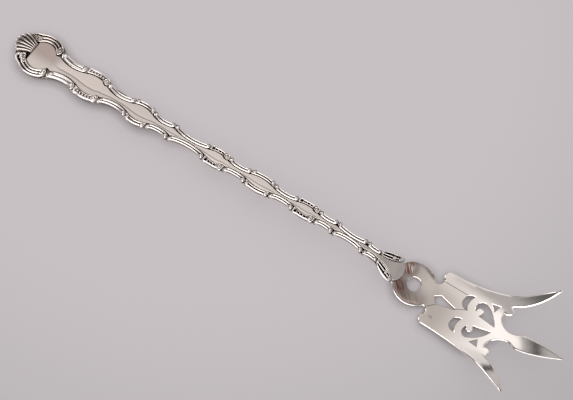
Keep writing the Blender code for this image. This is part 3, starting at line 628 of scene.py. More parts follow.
def shell_points(share, turn):
    angle = SHELL_HALF_ANGLE * (2 * share - 1)
    wall = np.clip(turn / WALL, 0.0, 1.0)
    out = np.clip((turn - WALL) / (TOP - WALL), 0.0, 1.0)
    back = np.clip((turn - TOP) / (1 - TOP), 0.0, 1.0)
    phase = math.pi / 2 * (SHELL_RIBS - 1)
    rib = np.abs(np.cos(math.pi * SHELL_RIBS * angle / (2 * SHELL_HALF_ANGLE) + phase))
    base_radius = (SHELL_FOCUS - SHELL_LENGTH + SHELL_BASE_GAP) / np.cos(angle)
    reach = SHELL_FOCUS - SHELL_TIP - SCALLOP
    corner = SHELL_HALF_WIDTH / math.sin(SHELL_HALF_ANGLE) / reach
    roundness = math.log(corner) / math.log(math.cos(SHELL_HALF_ANGLE))
    rim = reach * np.cos(angle) ** roundness + SCALLOP * (2 * rib - 1)
    radius = base_radius + (rim - base_radius) * out * (1 - back)
    swell = np.sin(math.pi * (SWELL_FROM + SWELL_SPAN * out)) ** SWELL_FULLNESS
    open_flute = ease(out, 0.0, FLUTE_OPEN_AT) * (1 - FLUTE_RISE * ease(out, FLUTE_RISE_AT, 1.0))
    flute = FLUTE_DEPTH * (1 - rib) * open_flute
    relief = (SHELL_RIM_HEIGHT + (SHELL_HEIGHT - SHELL_RIM_HEIGHT) * swell - flute) * wall
    along = SHELL_FOCUS - radius * np.cos(angle)
    height = ledge_height(along) + SEAT_GAP + np.where(turn > TOP, 0.0, relief)
    hollow_and_shade = np.clip((FLUTE_DARK_FROM - rib) * FLUTE_DARK_GAIN, 0.0, 1.0) * open_flute
    return to_frame(along, radius * np.sin(angle) + SHELL_SHIFT, height), np.where(turn > TOP, 1.0, hollow_and_shade)


shell = start_grid("fluted_shell", *SHELL_GRID)
shell_places, shell_hollows = shell_points(*grid_shares(shell))
finish_points(shell, shell_places, shell_hollows, np.full(len(shell_hollows), SHELL_FILM))
close_skin(shell)

# %% [markdown]
# The blade is sawn out of sheet silver, filed round at every edge and then bent. So its outline is drawn flat
# first, one half point by point and the other as its mirror image. Points in the drawing are millimetres
# forward of the bowl's front rim and out from the middle line.

# %% The blade's outline
TAB_HALF_WIDTH, TAB_LENGTH, NECK_HALF_WIDTH = 2.6, 2.9, 4.6
BLADE_BACK = -2 * BOWL_RADIUS - TAB_LENGTH
NECK_NOTCH, LOBE_CENTRE, LOBE_RADIUS, LOBE_TURN = (-0.35, 5.1), (1.25, 8.3), 2.0, (235, 90)
WING_END, TINE_TIP, TINE_ROOT = (20.8, 12.55), (33.9, 19.6), (24.0, 9.65)
KNOB_CENTRE, KNOB_RADIUS, KNOB_TURN = (22.95, 7.85), 1.6, (66, -122)
HUB_START, WAIST, SPEAR_WIDEST, SPEAR_TIP = (22.05, 6.2), (27.3, 1.65), (31.0, 2.85), (45.2, 0.0)
WING_PULLS, OUTER_TINE_PULLS = ((0.40, 0.0), (0.30, 0.60)), ((0.35, 0.19), (0.20, 0.17))
INNER_TINE_PULLS, HUB_PULLS = ((0.06, 0.31), (0.43, 0.125)), ((0.0, 0.55), (0.50, 0.0))
WAIST_PULLS, SPEAR_PULLS = ((0.35, 0.0), (0.40, 0.0)), ((0.30, 0.0), (0.35, 0.55))
ARC_STEPS, CURVE_STEPS = 20, 26


def arc(centre, radius, start, end, steps=ARC_STEPS):
    turns = np.radians(np.linspace(start, end, steps + 1))
    return [(centre[0] + radius * math.cos(turn), centre[1] + radius * math.sin(turn)) for turn in turns]


def arc_through(first, middle, last, steps=ARC_STEPS):
    """Points of the circular arc that runs through three points."""
    begin, passing, finish = (complex(*point) for point in (first, middle, last))
    ratio = (finish - begin) / (passing - begin)
    centre = (passing - begin) * (ratio - abs(ratio) ** 2) / (2j * ratio.imag) + begin
    arms = [point - centre for point in (begin, passing, finish)]
    start, through, end = (math.degrees(math.atan2(arm.imag, arm.real)) for arm in arms)
    turn = (end - start) % 360
    if (through - start) % 360 > turn:
        turn -= 360
    return arc((centre.real, centre.imag), abs(begin - centre), start, start + turn, steps)


def curve(first, leaves, arrives, last):
    """Cubic curve between two points, its pulls given in shares of the way from one to the other."""
    share = np.linspace(0.0, 1.0, CURVE_STEPS + 1)[:, None]
    way = np.array(last) - np.array(first)
    early = 3 * np.array(leaves) * share * (1 - share) ** 2
    late = 3 * (1 - np.array(arrives)) * share ** 2 * (1 - share)
    return [tuple(point) for point in np.array(first) + way * (early + late + share ** 3)]


def half_outline():
    tab_angle = 180 - math.degrees(math.asin(TAB_HALF_WIDTH / BOWL_RADIUS))
    neck_angle = math.degrees(math.asin(NECK_HALF_WIDTH / BOWL_RADIUS))
    rim = arc((-BOWL_RADIUS, 0.0), BOWL_RADIUS, tab_angle, neck_angle, 3 * ARC_STEPS)
    lobe = arc(LOBE_CENTRE, LOBE_RADIUS, *LOBE_TURN)
    points = [(BLADE_BACK, TAB_HALF_WIDTH)] + rim
    points += arc_through(rim[-1], NECK_NOTCH, lobe[0])[1:-1] + lobe
    points += curve(lobe[-1], *WING_PULLS, WING_END)[1:]
    points += curve(WING_END, *OUTER_TINE_PULLS, TINE_TIP)[1:]
    points += curve(TINE_TIP, *INNER_TINE_PULLS, TINE_ROOT)[1:]
    points += arc(KNOB_CENTRE, KNOB_RADIUS, *KNOB_TURN)
    points += curve(HUB_START, *HUB_PULLS, WAIST)
    points += curve(WAIST, *WAIST_PULLS, SPEAR_WIDEST)[1:]
    points += curve(SPEAR_WIDEST, *SPEAR_PULLS, SPEAR_TIP)[1:]
    return points


def mirrored(points):
    return [(along, -across) for along, across in reversed(points)]


left_edge = half_outline()
blade_outline = left_edge + mirrored(left_edge)[1:]
print("blade outline:", len(blade_outline), "points")

# %% [markdown]
# The blade is pierced by eight holes: a round one in the bowl, a slot beside the tongue, and on either side
# of the middle a crescent, a teardrop that a round curl stands into and a small triangle. They are drawn
# flat too, in the same millimetres.

# %% The holes of the blade
HOLE_RADIUS = 2.45
SLOT_START, SLOT_SIDE, SLOT_BACK = (1.6, -2.0), (1.95, 1.65), (0.1, 0.35)
SLOT_TIP, SLOT_TIP_RADIUS, SLOT_TIP_TURN, SLOT_TIP_STEPS = 7.9, 0.3, (-75, 75), 8
CRESCENT_FRONT, CRESCENT_BACK = (11.5, 7.0), (8.6, 5.0)
CRESCENT_HOLLOW, CRESCENT_ROOT = (10.6, 4.5), (11.4, 1.7)
DROP_TIP, DROP_SIDE, DROP_TOP, DROP_BACK = (21.5, 0.95), (18.8, 4.7), (15.2, 6.7), (13.2, 4.8)
DROP_BACK_ROOT, DROP_FRONT_ROOT = (13.75, 3.1), (15.6, 1.9)
CURL_CENTRE, CURL_RADIUS, CURL_TURN = (15.05, 3.35), 1.1, (195, -50)
TRIANGLE = [(17.2, 7.5), (19.1, 5.4), (20.0, 7.95)]


def slot_hole():
    tip = arc((SLOT_TIP - SLOT_TIP_RADIUS, 0.0), SLOT_TIP_RADIUS, *SLOT_TIP_TURN, SLOT_TIP_STEPS)
    return [SLOT_START] + tip + [SLOT_SIDE, SLOT_BACK]


def crescent():
    back = arc_through(CRESCENT_FRONT, CRESCENT_BACK, CRESCENT_ROOT, 2 * ARC_STEPS)
    return back + arc_through(CRESCENT_ROOT, CRESCENT_HOLLOW, CRESCENT_FRONT, 2 * ARC_STEPS)[1:-1]


def drop():
    """Teardrop that a round curl on a short stalk stands into."""
    edge = arc_through(DROP_TIP, DROP_SIDE, DROP_TOP) + arc_through(DROP_TOP, DROP_BACK, DROP_BACK_ROOT)[1:]
    return edge + arc(CURL_CENTRE, CURL_RADIUS, *CURL_TURN, 2 * ARC_STEPS) + [DROP_FRONT_ROOT]


blade_holes = [arc((-BOWL_RADIUS, 0.0), HOLE_RADIUS, 0, 360, 4 * ARC_STEPS)[:-1], slot_hole()]
for half_hole in (crescent(), drop(), TRIANGLE):
    blade_holes += [half_hole, mirrored(half_hole)]
print("holes:", len(blade_holes))

# %% [markdown]
# A flat curve that is filled and given an extrusion and a bevel becomes a sheet with rounded edges, which is
# what a file leaves on sawn silver. The helper turns such a curve into a mesh, merges its seams and dissolves
# the long thin triangles of its flat faces.

# %% The flat sheet
EDGE_ROUND, EDGE_STEPS, FLAT_WELD, FLAT_ANGLE = 0.56, 8, 0.0005, math.radians(0.3)


def pick(piece):
    """Selects one piece alone, so that the next operators work on it."""
    bpy.ops.object.select_all(action="DESELECT")
    piece.select_set(True)
    bpy.context.view_layer.objects.active = piece


def signed_area(points):
    """Area inside an outline, above zero where it runs anticlockwise."""
    along, across = np.array(points).T
    return float(np.sum(along * np.roll(across, -1) - across * np.roll(along, -1))) / 2


def filled_curve(name, outlines, rounding, corners, half_height, lift=0.0):
    """Solid from flat outlines, its edges rounded off within them or, by a minus rounding, flared beyond."""
    bpy.ops.object.select_all(action="DESELECT")
    bpy.ops.curve.primitive_bezier_circle_add(radius=1.0)
    drawing = bpy.context.object
    drawing.name = name
    drawing.data.splines.clear()
    drawing.data.dimensions = "2D"
    drawing.data.fill_mode = "BOTH"
    for points in outlines:
        if signed_area(points) < 0:
            points = points[::-1]
        spline = drawing.data.splines.new("POLY")
        spline.points.add(len(points) - 1)
        spline.points.foreach_set("co", [value for point in points for value in (*point, 0.0, 1.0)])
        spline.use_cyclic_u = True
    drawing.data.bevel_depth = abs(rounding)
    drawing.data.bevel_resolution = corners
    drawing.data.offset = -max(rounding, 0.0)
    drawing.data.extrude = half_height - abs(rounding)
    drawing.location.z = lift
    bpy.ops.object.convert(target="MESH")
    bpy.ops.object.transform_apply()
    bpy.ops.object.mode_set(mode="EDIT")
    bpy.ops.mesh.select_all(action="SELECT")
    bpy.ops.mesh.remove_doubles(threshold=FLAT_WELD)
    bpy.ops.mesh.dissolve_limited(angle_limit=FLAT_ANGLE)
    bpy.ops.mesh.normals_make_consistent(inside=False)
    bpy.ops.object.mode_set(mode="OBJECT")
    return bpy.context.object


blade = filled_curve("blade", [blade_outline], EDGE_ROUND, EDGE_STEPS, SHEET / 2)
print("flat sheet:", [round(value, 2) for value in blade.dimensions], "mm")

# %% [markdown]
# Holes and seams are sawn by Boolean modifiers. A straight-sided copy of the holes cuts through, and a flared
# one on either face takes the sharpness off their rims, as a few strokes of a needle file do. Three thin
# boxes saw the seams at which the bowl's tongue was soldered into the fork plate.

# %% Seams and holes
SEAM, SEAM_HEIGHT, SAW_HEIGHT = 0.16, 6.3, 4.0
HOLE_CHAMFER, THROUGH_HALF, FLARE_HALF = 0.11, 2.0, 1.0
SEAM_START = NECK_NOTCH[0] - LOBE_RADIUS / 2
SEAMS = [
    ((SEAM_START, -NECK_NOTCH[1]), (SLOT_START[0] + SEAM, SLOT_START[1])),
    ((SLOT_TIP - SEAM, 0.0), (CRESCENT_ROOT[0], CRESCENT_ROOT[1] + SEAM)),
    ((SEAM_START, SEAM_HEIGHT), ((CRESCENT_BACK[0] + CRESCENT_HOLLOW[0]) / 2, SEAM_HEIGHT)),
]


def saw_cuts(cuts):
    """One object with a thin upright box along every seam."""
    boxes = []
    for first, last in cuts:
        way = (last[0] - first[0], last[1] - first[1])
        middle = ((first[0] + last[0]) / 2, (first[1] + last[1]) / 2, 0.0)
        bpy.ops.mesh.primitive_cube_add(
            size=1.0, location=middle, rotation=(0, 0, math.atan2(way[1], way[0])),
            scale=(math.hypot(*way), SEAM, SAW_HEIGHT))
        boxes.append(bpy.context.object)
    for box in boxes:
        box.select_set(True)
    bpy.ops.object.join()
    return bpy.context.object


saw = saw_cuts(SEAMS)
through = filled_curve("through_cut", blade_holes, 0.0, 0, THROUGH_HALF)
flare_lift = SHEET / 2 + FLARE_HALF - HOLE_CHAMFER
flares = [
    filled_curve("flare", blade_holes, -HOLE_CHAMFER, 0, FLARE_HALF, face * flare_lift) for face in (-1, 1)]
pick(blade)
for cutter in (through, *flares, saw):
    bpy.ops.object.modifier_add(type="BOOLEAN")
    blade.modifiers[0].operation = "DIFFERENCE"
    blade.modifiers[0].object = cutter
    bpy.ops.object.modifier_apply(modifier=blade.modifiers[0].name)
    bpy.data.objects.remove(cutter)
print("pierced sheet:", len(blade.data.polygons), "faces")

# %% [markdown]
# A face can only bend at its edges, so many straight bisecting planes lay an even grid over the whole sheet.
# The saw has parted the sheet in two, and separating its loose parts makes the bowl and the plate objects of
# their own.

# %% An even grid over the sheet
GRID_STEP = 0.7
GRID_WAYS = (((1, 0, 0), BLADE_BACK, SPEAR_TIP[0]), ((0, 1, 0), -TINE_TIP[1], TINE_TIP[1]))

bpy.ops.object.mode_set(mode="EDIT")
for axis, first, last in GRID_WAYS:
    for distance in np.arange(first + GRID_STEP / 2, last, GRID_STEP):
        bpy.ops.mesh.select_all(action="SELECT")
        bpy.ops.mesh.bisect(plane_co=[distance * part for part in axis], plane_no=axis)
bpy.ops.mesh.select_all(action="SELECT")
bpy.ops.mesh.separate(type="LOOSE")
bpy.ops.object.mode_set(mode="OBJECT")
sheets = sorted(bpy.context.selected_objects, key=lambda loose: min(corner[0] for corner in loose.bound_box))
print("sheets:", [(loose.name, len(loose.data.polygons)) for loose in sheets])

# %% [markdown]
# The blade's tarnish and painted shade are laid on by place. The bowl is browner than the plate. Painted
# shade darkens its near side, and a painted shadow of the handle's heel lies at its back. Brown stains lie
# beside the heel, a small one lies on the plate's near lobe, and the front of the plate is the brightest.

# %% The film on the blade
PLATE_FILM, NECK_FILM, FRONT_SHINE = 0.16, 0.22, 0.12
BOWL_FILM, NEAR_BOWL_PAINTED_SHADE, HEEL_PAINTED_SHADOW = 0.40, 0.35, 0.18
BOWL_PART, NECK_PART, NECK_SIDE, FRONT_PART = (-3.0, 0.5), (4.0, 14.0), (1.0, 6.0), (10.0, 18.0)
NEAR_SIDE, BACK_PART_OF_BOWL, BACK_SIDE = (-2.0, 5.0), (-12.4, -10.6), (2.0, 3.6)
STAINS = (((-11.2, 3.8, 3.8), 0.58), ((-11.0, -2.9, 2.6), 0.20), ((2.5, -6.8, 0.7), 0.45))
STAIN_CORE = 0.2


def near(forward, across, spot):
    """1 in the middle of a round spot and 0 outside it."""
    centre_along, centre_across, radius = spot
    return 1 - ease(np.hypot(forward - centre_along, across - centre_across) / radius, STAIN_CORE, 1.0)


def blade_film_and_shade(forward, across):
    """Film of brown tarnish and painted shade on the blade, from 0 on bright silver to 1 on a stain."""
    neck = (1 - ease(forward, *NECK_PART)) * (1 - ease(across, *NECK_SIDE))
    plate_shade = PLATE_FILM + NECK_FILM * neck - FRONT_SHINE * ease(forward, *FRONT_PART)
    # Painted shadow of the heel's tongue at the bowl's back, and painted shade on its near side below.
    heel_shadow_strip = (1 - ease(forward, *BACK_PART_OF_BOWL)) * (1 - ease(np.abs(across), *BACK_SIDE))
    bowl_shade = BOWL_FILM + NEAR_BOWL_PAINTED_SHADE * ease(-across, *NEAR_SIDE) + HEEL_PAINTED_SHADOW * heel_shadow_strip
    film_and_shade = plate_shade + (bowl_shade - plate_shade) * (1 - ease(forward, *BOWL_PART))
    for spot, strength in STAINS:
        film_and_shade = film_and_shade + strength * near(forward, across, spot)
    return np.clip(film_and_shade, 0.0, 1.0)


print("film in the bowl's middle:", round(float(blade_film_and_shade(np.array([-BOWL_RADIUS]), np.zeros(1))[0]), 2))

# %% [markdown]
# Now the sheet gets its bend. Every point is lifted by the middle line's height, and the wings and side tines
# rise with the square of their distance from the middle. The bowl is hammered down a little inside a lip,
# which stands steeper towards the front.

# %% The bend of the blade
WING_LIFT, TIP_LIFT = 1.5, 6.9
LIP_SLOPE, LIP_STEEPER, LIP_START, LIP_BEND, LIP_STEEP_UNTIL = 0.43, 0.40, BOWL_RADIUS - 1.1, 0.25, -2.0
FRONT_LIP, BACK_LIP, RIM_MARGIN, TINY = (0.62, 0.95), (0.36, 0.62), 1.001, 0.01


def blade_lift(forward, across):
    along = FRONT_RIM + forward
    reach = np.hypot(along - BOWL_CENTRE, across) / BOWL_RADIUS
    aside = np.abs(across) / np.maximum(reach * BOWL_RADIUS, TINY)
    sideways = np.where(along > BOWL_CENTRE, ease(aside, *FRONT_LIP), ease(aside, *BACK_LIP))
    dish = BOWL_DEPTH * np.where(reach < 1, (1 - reach ** 2) ** 2, 0.0)
    steep = LIP_SLOPE + LIP_STEEPER * ease(forward, -BOWL_RADIUS, LIP_STEEP_UNTIL)
    lip = np.where(reach < RIM_MARGIN, ramp(reach * BOWL_RADIUS, LIP_START, LIP_BEND), 0.0)
    dish = dish - steep * sideways * lip
    wing = WING_LIFT / WING_END[1] ** 2
    tip = TIP_LIFT / TINE_TIP[1] ** 2
    to_tip = np.clip((forward - LOBE_CENTRE[0]) / (TINE_TIP[0] - LOBE_CENTRE[0]), 0.0, 1.0)
    bend = wing * ease(forward, -BOWL_RADIUS, LOBE_CENTRE[0] + LOBE_RADIUS) + (tip - wing) * to_tip
    return blade_height(along) - dish + bend * across ** 2


tip_height = float(blade_lift(*(np.array([value]) for value in TINE_TIP))[0])
print("side tines' tips stand", round(tip_height, 2), "mm over the table")

# %% [markdown]
# A bevel of a fixed width overshoots where an outline comes to a sharp tip, and leaves small ears there. The
# points that lie past the outline near a tip are brought back to it, and the metal is forged thin there, so
# the tines end in clean points.

# %% Clean tips
TINE_TIPS = (TINE_TIP, (TINE_TIP[0], -TINE_TIP[1]), SPEAR_TIP)
TIP_REACH = 1.8


def from_tip(forward, across):
    """Distance to the nearest sharp tip of the tines."""
    return np.min([np.hypot(forward - ahead, across - aside) for ahead, aside in TINE_TIPS], axis=0)


def inside_outline(points):
    """Whether points lie within the blade's outline, by counting the edges on one side of each."""
    first = np.array(blade_outline)
    last = np.roll(first, -1, axis=0)
    spans = (first[:, 1] > points[:, 1:]) != (last[:, 1] > points[:, 1:])
    rise = np.where(last[:, 1] == first[:, 1], 1.0, last[:, 1] - first[:, 1])
    crossing = first[:, 0] + (points[:, 1:] - first[:, 1]) / rise * (last[:, 0] - first[:, 0])
    return np.sum(spans & (points[:, :1] < crossing), axis=1) % 2 == 1


def on_outline(points):
    """The nearest places on the blade's outline."""
    first = np.array(blade_outline)
    edge = np.roll(first, -1, axis=0) - first
    span = np.maximum(np.sum(edge ** 2, axis=1), 1e-9)
    share = np.clip(np.sum((points[:, None] - first) * edge, axis=2) / span, 0.0, 1.0)
    places = first + share[..., None] * edge
    nearest = np.argmin(np.sum((places - points[:, None]) ** 2, axis=2), axis=1)
    return places[np.arange(len(points)), nearest]


def draw_in(forward, across):
    """Brings what the rounding pushed past a sharp tip back to the outline."""
    points = np.stack([forward, across], axis=1)
    close = np.flatnonzero(from_tip(forward, across) < TIP_REACH)
    stray = close[~inside_outline(points[close])]
    points[stray] = on_outline(points[stray])
    return points.T


print("sharp tips:", len(TINE_TIPS))

# %% [markdown]
# Both sheets are bent in the same way. The tines are forged thinner towards their tips, and only the upper
# face keeps a film of tarnish. A weighted-normal modifier keeps the broad faces calm beside rounded edges.

# %% The bent bowl and plate
TIP_TAPER, TIP_THICKNESS, TIP_THINNING, THINNING_PART = 0.55, 0.12, 0.35, (24.0, 46.0)
FACE_MARGIN, SHEET_SHARP = 0.1, math.radians(30)


def bend_sheet(piece, name):
    piece.name = piece.data.name = name
    forward, across, height = read_points(piece)
    forward, across = draw_in(forward, across)
    thin = 1 - TIP_THINNING * ease(forward, *THINNING_PART)
    thin = thin * np.clip(TIP_TAPER * from_tip(forward, across), TIP_THICKNESS, 1.0)
    places = to_frame(FRONT_RIM + forward, across, blade_lift(forward, across) + height * thin)
    film_and_shade = blade_film_and_shade(forward, across) * (height > SHEET / 2 - FACE_MARGIN)
    finish_points(piece, places, np.zeros(len(forward)), film_and_shade)
    pick(piece)
    bpy.ops.object.shade_smooth_by_angle(angle=SHEET_SHARP)
    bpy.ops.object.modifier_add(type="WEIGHTED_NORMAL")
    piece.modifiers[-1].keep_sharp = True
    bpy.ops.object.modifier_apply(modifier=piece.modifiers[-1].name)
    print(name, len(piece.data.polygons), "faces")
    return piece


bowl = bend_sheet(sheets[0], "hammered_bowl")
plate = bend_sheet(sheets[-1], "pierced_fork_plate")

# %% [markdown]
# Every piece rides on the one rigid body, and the solid that it stands for is hidden.

# %% Riding on the body
for piece, node, slot in [(handle, "handle_bar", "handle_silver"), (shell, "shell_crest", "shell_silver"),
                          (bowl, "bowl", "bowl_silver"), (plate, "fork_plate", "plate_silver")]:
    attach(piece, "root")
    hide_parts(node)
for node, piece in borders.items():
    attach(piece, "root")
    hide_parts(node)
print("pieces on the body root:", len([handle, shell, bowl, plate, *borders]))

# %% [markdown]
# Materials are built from nodes by code. Colours are written as on a screen, as sRGB hex codes, and turned
# into the linear values that Blender calculates with. One small helper adds a node, sets it up and links it.

# %% Colours and nodes


def linear(code):
    """Linear colour from an sRGB hex code."""
    parts = [int(code[at:at + 2], 16) / 255 for at in (0, 2, 4)]
    return [part / 12.92 if part <= 0.04045 else ((part + 0.055) / 1.055) ** 2.4 for part in parts] + [1.0]


def add(tree, kind, inputs=(), **settings):
    """Adds a node and sets it up. An input takes a constant, a socket, or a node for its first output."""
    made = tree.nodes.new("ShaderNode" + kind)
    for name, value in settings.items():
        setattr(made, name, value)
    for socket, value in inputs:
        if isinstance(value, bpy.types.Node):
            value = value.outputs[0]
        if isinstance(value, bpy.types.NodeSocket):
            tree.links.new(value, made.inputs[socket])
        else:
            made.inputs[socket].default_value = value
    return made


def empty_tree(owner):
    """The node tree of a material or a world, with nothing in it."""
    owner.use_nodes = True
    owner.node_tree.nodes.clear()
    return owner.node_tree


def fill_ramp(node, stops):
    """Gives a colour ramp its stops, each a position and a colour."""
    while len(node.color_ramp.elements) < len(stops):
        node.color_ramp.elements.new(0.5)
    for stop, (position, tone) in zip(node.color_ramp.elements, stops):
        stop.position = position
        stop.color = tone


def dress(piece, material):
    piece.data.materials.clear()
    piece.data.materials.append(material)


print("a middle grey on the screen has the linear value", round(linear("808080")[0], 3))

# %% [markdown]
# Silver is a bright, faintly warm metal. Daily polishing leaves hair-fine scratches along the fork and a
# slightly uneven sheen. Polish never reaches the hollows of chased work, so almost black tarnish stays there,
# and elsewhere a thin film turns the metal from white over grey to brown. Where it is thickest, rubbing has
# left it in lines. One function makes the metal. It is told how dull, scratched, tarnished and lined it is.

# %% Silver
# Real scratches are far finer than a pixel, so they are drawn as coarse as they need to show, 1.8 to the
# millimetre. The waves that hammering leaves are about 8 mm long.
HAIR_LENGTH, HAIR_WIDTH, WAVE_LENGTH = 20 * MM, MM / 1.8, MM / 0.13
HAIR_DEPTH, WAVE_DEPTH = 0.01 * MM, 0.025 * MM
STAIN_LINES, STAIN_ANGLE = (0.32 * MM, 4.5 * MM, 3.3 * MM), math.radians(45)
STAIN_THINNEST, STAIN_THICKEST, STAIN_SHARPNESS = -0.9, 0.6, 9.0
SHEEN_LEAST, SHEEN_MOST, HOLLOW_DULLNESS = 0.75, 1.3, 0.35
LINES_LOW, LINES_HIGH, HAIRS_LOW, HAIRS_HIGH = 0.35, 0.65, 0.3, 0.7
SILVER, TARNISH_AND_SHADE = linear("F6EDE8"), linear("1A1410")
# The film's tones also paint shade where the film attribute holds painted shade.
FILM_AND_SHADE_TONES = ((0.0, SILVER), (0.33, linear("DED2CB")), (0.66, linear("B2A6A0")), (1.0, linear("96604E")))


def film_and_shade_colour(tree, place, film_and_shade, staining):
    """Colour of the metal under its film of tarnish and painted shade, which breaks into rubbed lines where
    it is thick.
    """
    rubbed = add(tree, "Mapping", [("Vector", place), ("Rotation", (0, 0, STAIN_ANGLE)),
                                   ("Scale", STAIN_LINES)], vector_type="TEXTURE")
    lines = add(tree, "TexNoise", [("Vector", rubbed), ("Scale", 1.0), ("Detail", 1.0)])
    cloudy = add(tree, "MapRange", [("Value", lines), (1, LINES_LOW), (2, LINES_HIGH),
                                    (3, STAIN_THINNEST * staining), (4, STAIN_THICKEST * staining)])
    strong = add(tree, "Math", [(0, film_and_shade), (1, STAIN_SHARPNESS)], operation="POWER")
    thick = add(tree, "Math", [(0, cloudy), (1, strong), (2, film_and_shade)], operation="MULTIPLY_ADD")
    tinted = add(tree, "ValToRGB", [("Fac", thick)])
    fill_ramp(tinted, FILM_AND_SHADE_TONES)
    return tinted


def silver(name, dullness, scratching, tarnish_and_shade, staining):
    material = bpy.data.materials.new(name)
    tree = empty_tree(material)
    place = add(tree, "TexCoord").outputs["Object"]
    hollow_and_shade = add(tree, "Attribute", attribute_name="hollow_and_shade").outputs["Fac"]
    film_and_shade = add(tree, "Attribute", attribute_name="film_and_shade").outputs["Fac"]
    per_hair = (1 / HAIR_LENGTH, 1 / HAIR_WIDTH, 1 / HAIR_WIDTH)
    streaks = add(tree, "Mapping", [("Vector", place), ("Scale", per_hair)])
    hairs = add(tree, "TexNoise", [("Vector", streaks), ("Scale", 1.0), ("Detail", 4.0)])
    waves = add(tree, "TexNoise", [("Vector", place), ("Scale", 1 / WAVE_LENGTH), ("Detail", 2.0)])
    grime_and_shade = add(tree, "MapRange", [("Value", hollow_and_shade), (3, 0.0), (4, tarnish_and_shade)])
    tinted = film_and_shade_colour(tree, place, film_and_shade, staining)
    colour = add(tree, "Mix", [("Factor", grime_and_shade), (6, tinted), (7, TARNISH_AND_SHADE)], data_type="RGBA").outputs[2]
    sheen = add(tree, "MapRange", [("Value", hairs), (1, HAIRS_LOW), (2, HAIRS_HIGH),
                                   (3, dullness * SHEEN_LEAST), (4, dullness * SHEEN_MOST)])
    rough = add(tree, "Math", [(0, hollow_and_shade), (1, HOLLOW_DULLNESS), (2, sheen)], operation="MULTIPLY_ADD")
    wavy = add(tree, "Bump", [("Strength", 1.0), ("Distance", WAVE_DEPTH), ("Height", waves)])
    scratched = add(tree, "Bump", [("Strength", scratching), ("Distance", HAIR_DEPTH), ("Height", hairs),
                                   ("Normal", wavy)])
    metal = add(tree, "BsdfPrincipled", [("Metallic", 1.0), ("Base Color", colour), ("Roughness", rough),
                                         ("Normal", scratched)])
    add(tree, "OutputMaterial", [("Surface", metal)])
    print("material:", name)
    return material


# %% [markdown]
# The same metal looks different on each piece, because each was worked and rubbed in its own way. A rougher
# surface spreads its reflections, scratches streak them and tarnish swallows them. The four numbers of a
# finish are its dullness, its scratches, the tarnish in its hollows and the lines in its film.

# %% Five finishes
# A hand-polished panel has a soft sheen and fine scratches along the fork.
dress(handle, silver("sterling_silver_polished_panel", 0.16, 0.25, 0.9, 0.0))
# Struck rolls keep sharp white glints on their crests beside black hollows.
struck = silver("sterling_silver_struck_tarnished_hollows", 0.13, 0.0, 1.0, 0.0)
# The flutes of the shell are browner than black, because they are open enough to be rubbed.
dress(shell, silver("sterling_silver_fluted_tarnished_grooves", 0.15, 0.0, 0.84, 0.0))
# The hammered bowl is the dullest, with brown stains in rubbed lines.
dress(bowl, silver("sterling_silver_hammered_bowl", 0.18, 0.3, 0.9, 1.5))
# Sawn sheet is the smoothest, so the plate and its tines mirror the room in clear bands.
dress(plate, silver("sterling_silver_sawn_polished_sheet", 0.11, 0.3, 0.9, 0.5))
for piece in borders.values():
    dress(piece, struck)

# %% [markdown]
# The fork lies on plain grey paper with a painted pool of light, so it darkens a little away from its
# brightest place. Half of the paper's light is a painted glow of its own, as if it lay on a light table, so
# the fork's shadow stays faint. The glow fades close to the fork, by ambient occlusion, so the paper seen
# through the piercings is darker.

# %% The table
TABLE, GLOW = linear("D0CBCD"), 0.5
PAPER_PAINTED_FALLOFF = (
    (0.0, TABLE), (0.35, TABLE), (0.50, linear("C8C4C6")), (0.66, linear("B5B2B3")), (1.0, linear("AFACAD")))
PAINTED_LIGHT_CENTRE, FALL_OFF, CLOSE_SHADE = (-0.052, 0.046, 0.0), 0.29, 0.0035
TABLE_SIZE, TABLE_DROP = 30.0, 0.00005

bpy.ops.mesh.primitive_plane_add(size=TABLE_SIZE, location=(0, 0, -TABLE_DROP))
table = bpy.context.object
table.name = "table"
# Matt paper has no shine at all, only a soft grey with a painted fall-off of light outwards.
paper = bpy.data.materials.new("matt_grey_paper_with_painted_glow_and_falloff")
paper_nodes = empty_tree(paper)
spot = add(paper_nodes, "TexCoord").outputs["Object"]
away = add(paper_nodes, "VectorMath", [(0, spot), (1, PAINTED_LIGHT_CENTRE)], operation="DISTANCE").outputs["Value"]
fading = add(paper_nodes, "MapRange", [("Value", away), (2, FALL_OFF)])
paper_painted_falloff = add(paper_nodes, "ValToRGB", [("Fac", fading)])
fill_ramp(paper_painted_falloff, PAPER_PAINTED_FALLOFF)
paper_painted_falloff.color_ramp.interpolation = "B_SPLINE"
matt = add(paper_nodes, "BsdfDiffuse", [("Color", paper_painted_falloff)])
open_paper = add(paper_nodes, "AmbientOcclusion", [("Color", paper_painted_falloff), ("Distance", CLOSE_SHADE)])
# Painted light: half of the paper's brightness is its own emission, dimmed close to the fork.
lit_through = add(paper_nodes, "Emission", [("Color", open_paper)])
blend = add(paper_nodes, "MixShader", [(0, GLOW), (1, matt), (2, lit_through)])
add(paper_nodes, "OutputMaterial", [("Surface", blend)])
dress(table, paper)
print("table", TABLE_SIZE, "m wide")

# %% [markdown]
# A mirror shows its room, so the room is most of the look. The world is a plain studio in grey steps along
# one slanting direction: dim low walls, a dark strip, a bright band of soft boxes and a greyer ceiling. Two
# steps darken it on the near side, and a far wall has a dark strip of its own, which the tines mirror.

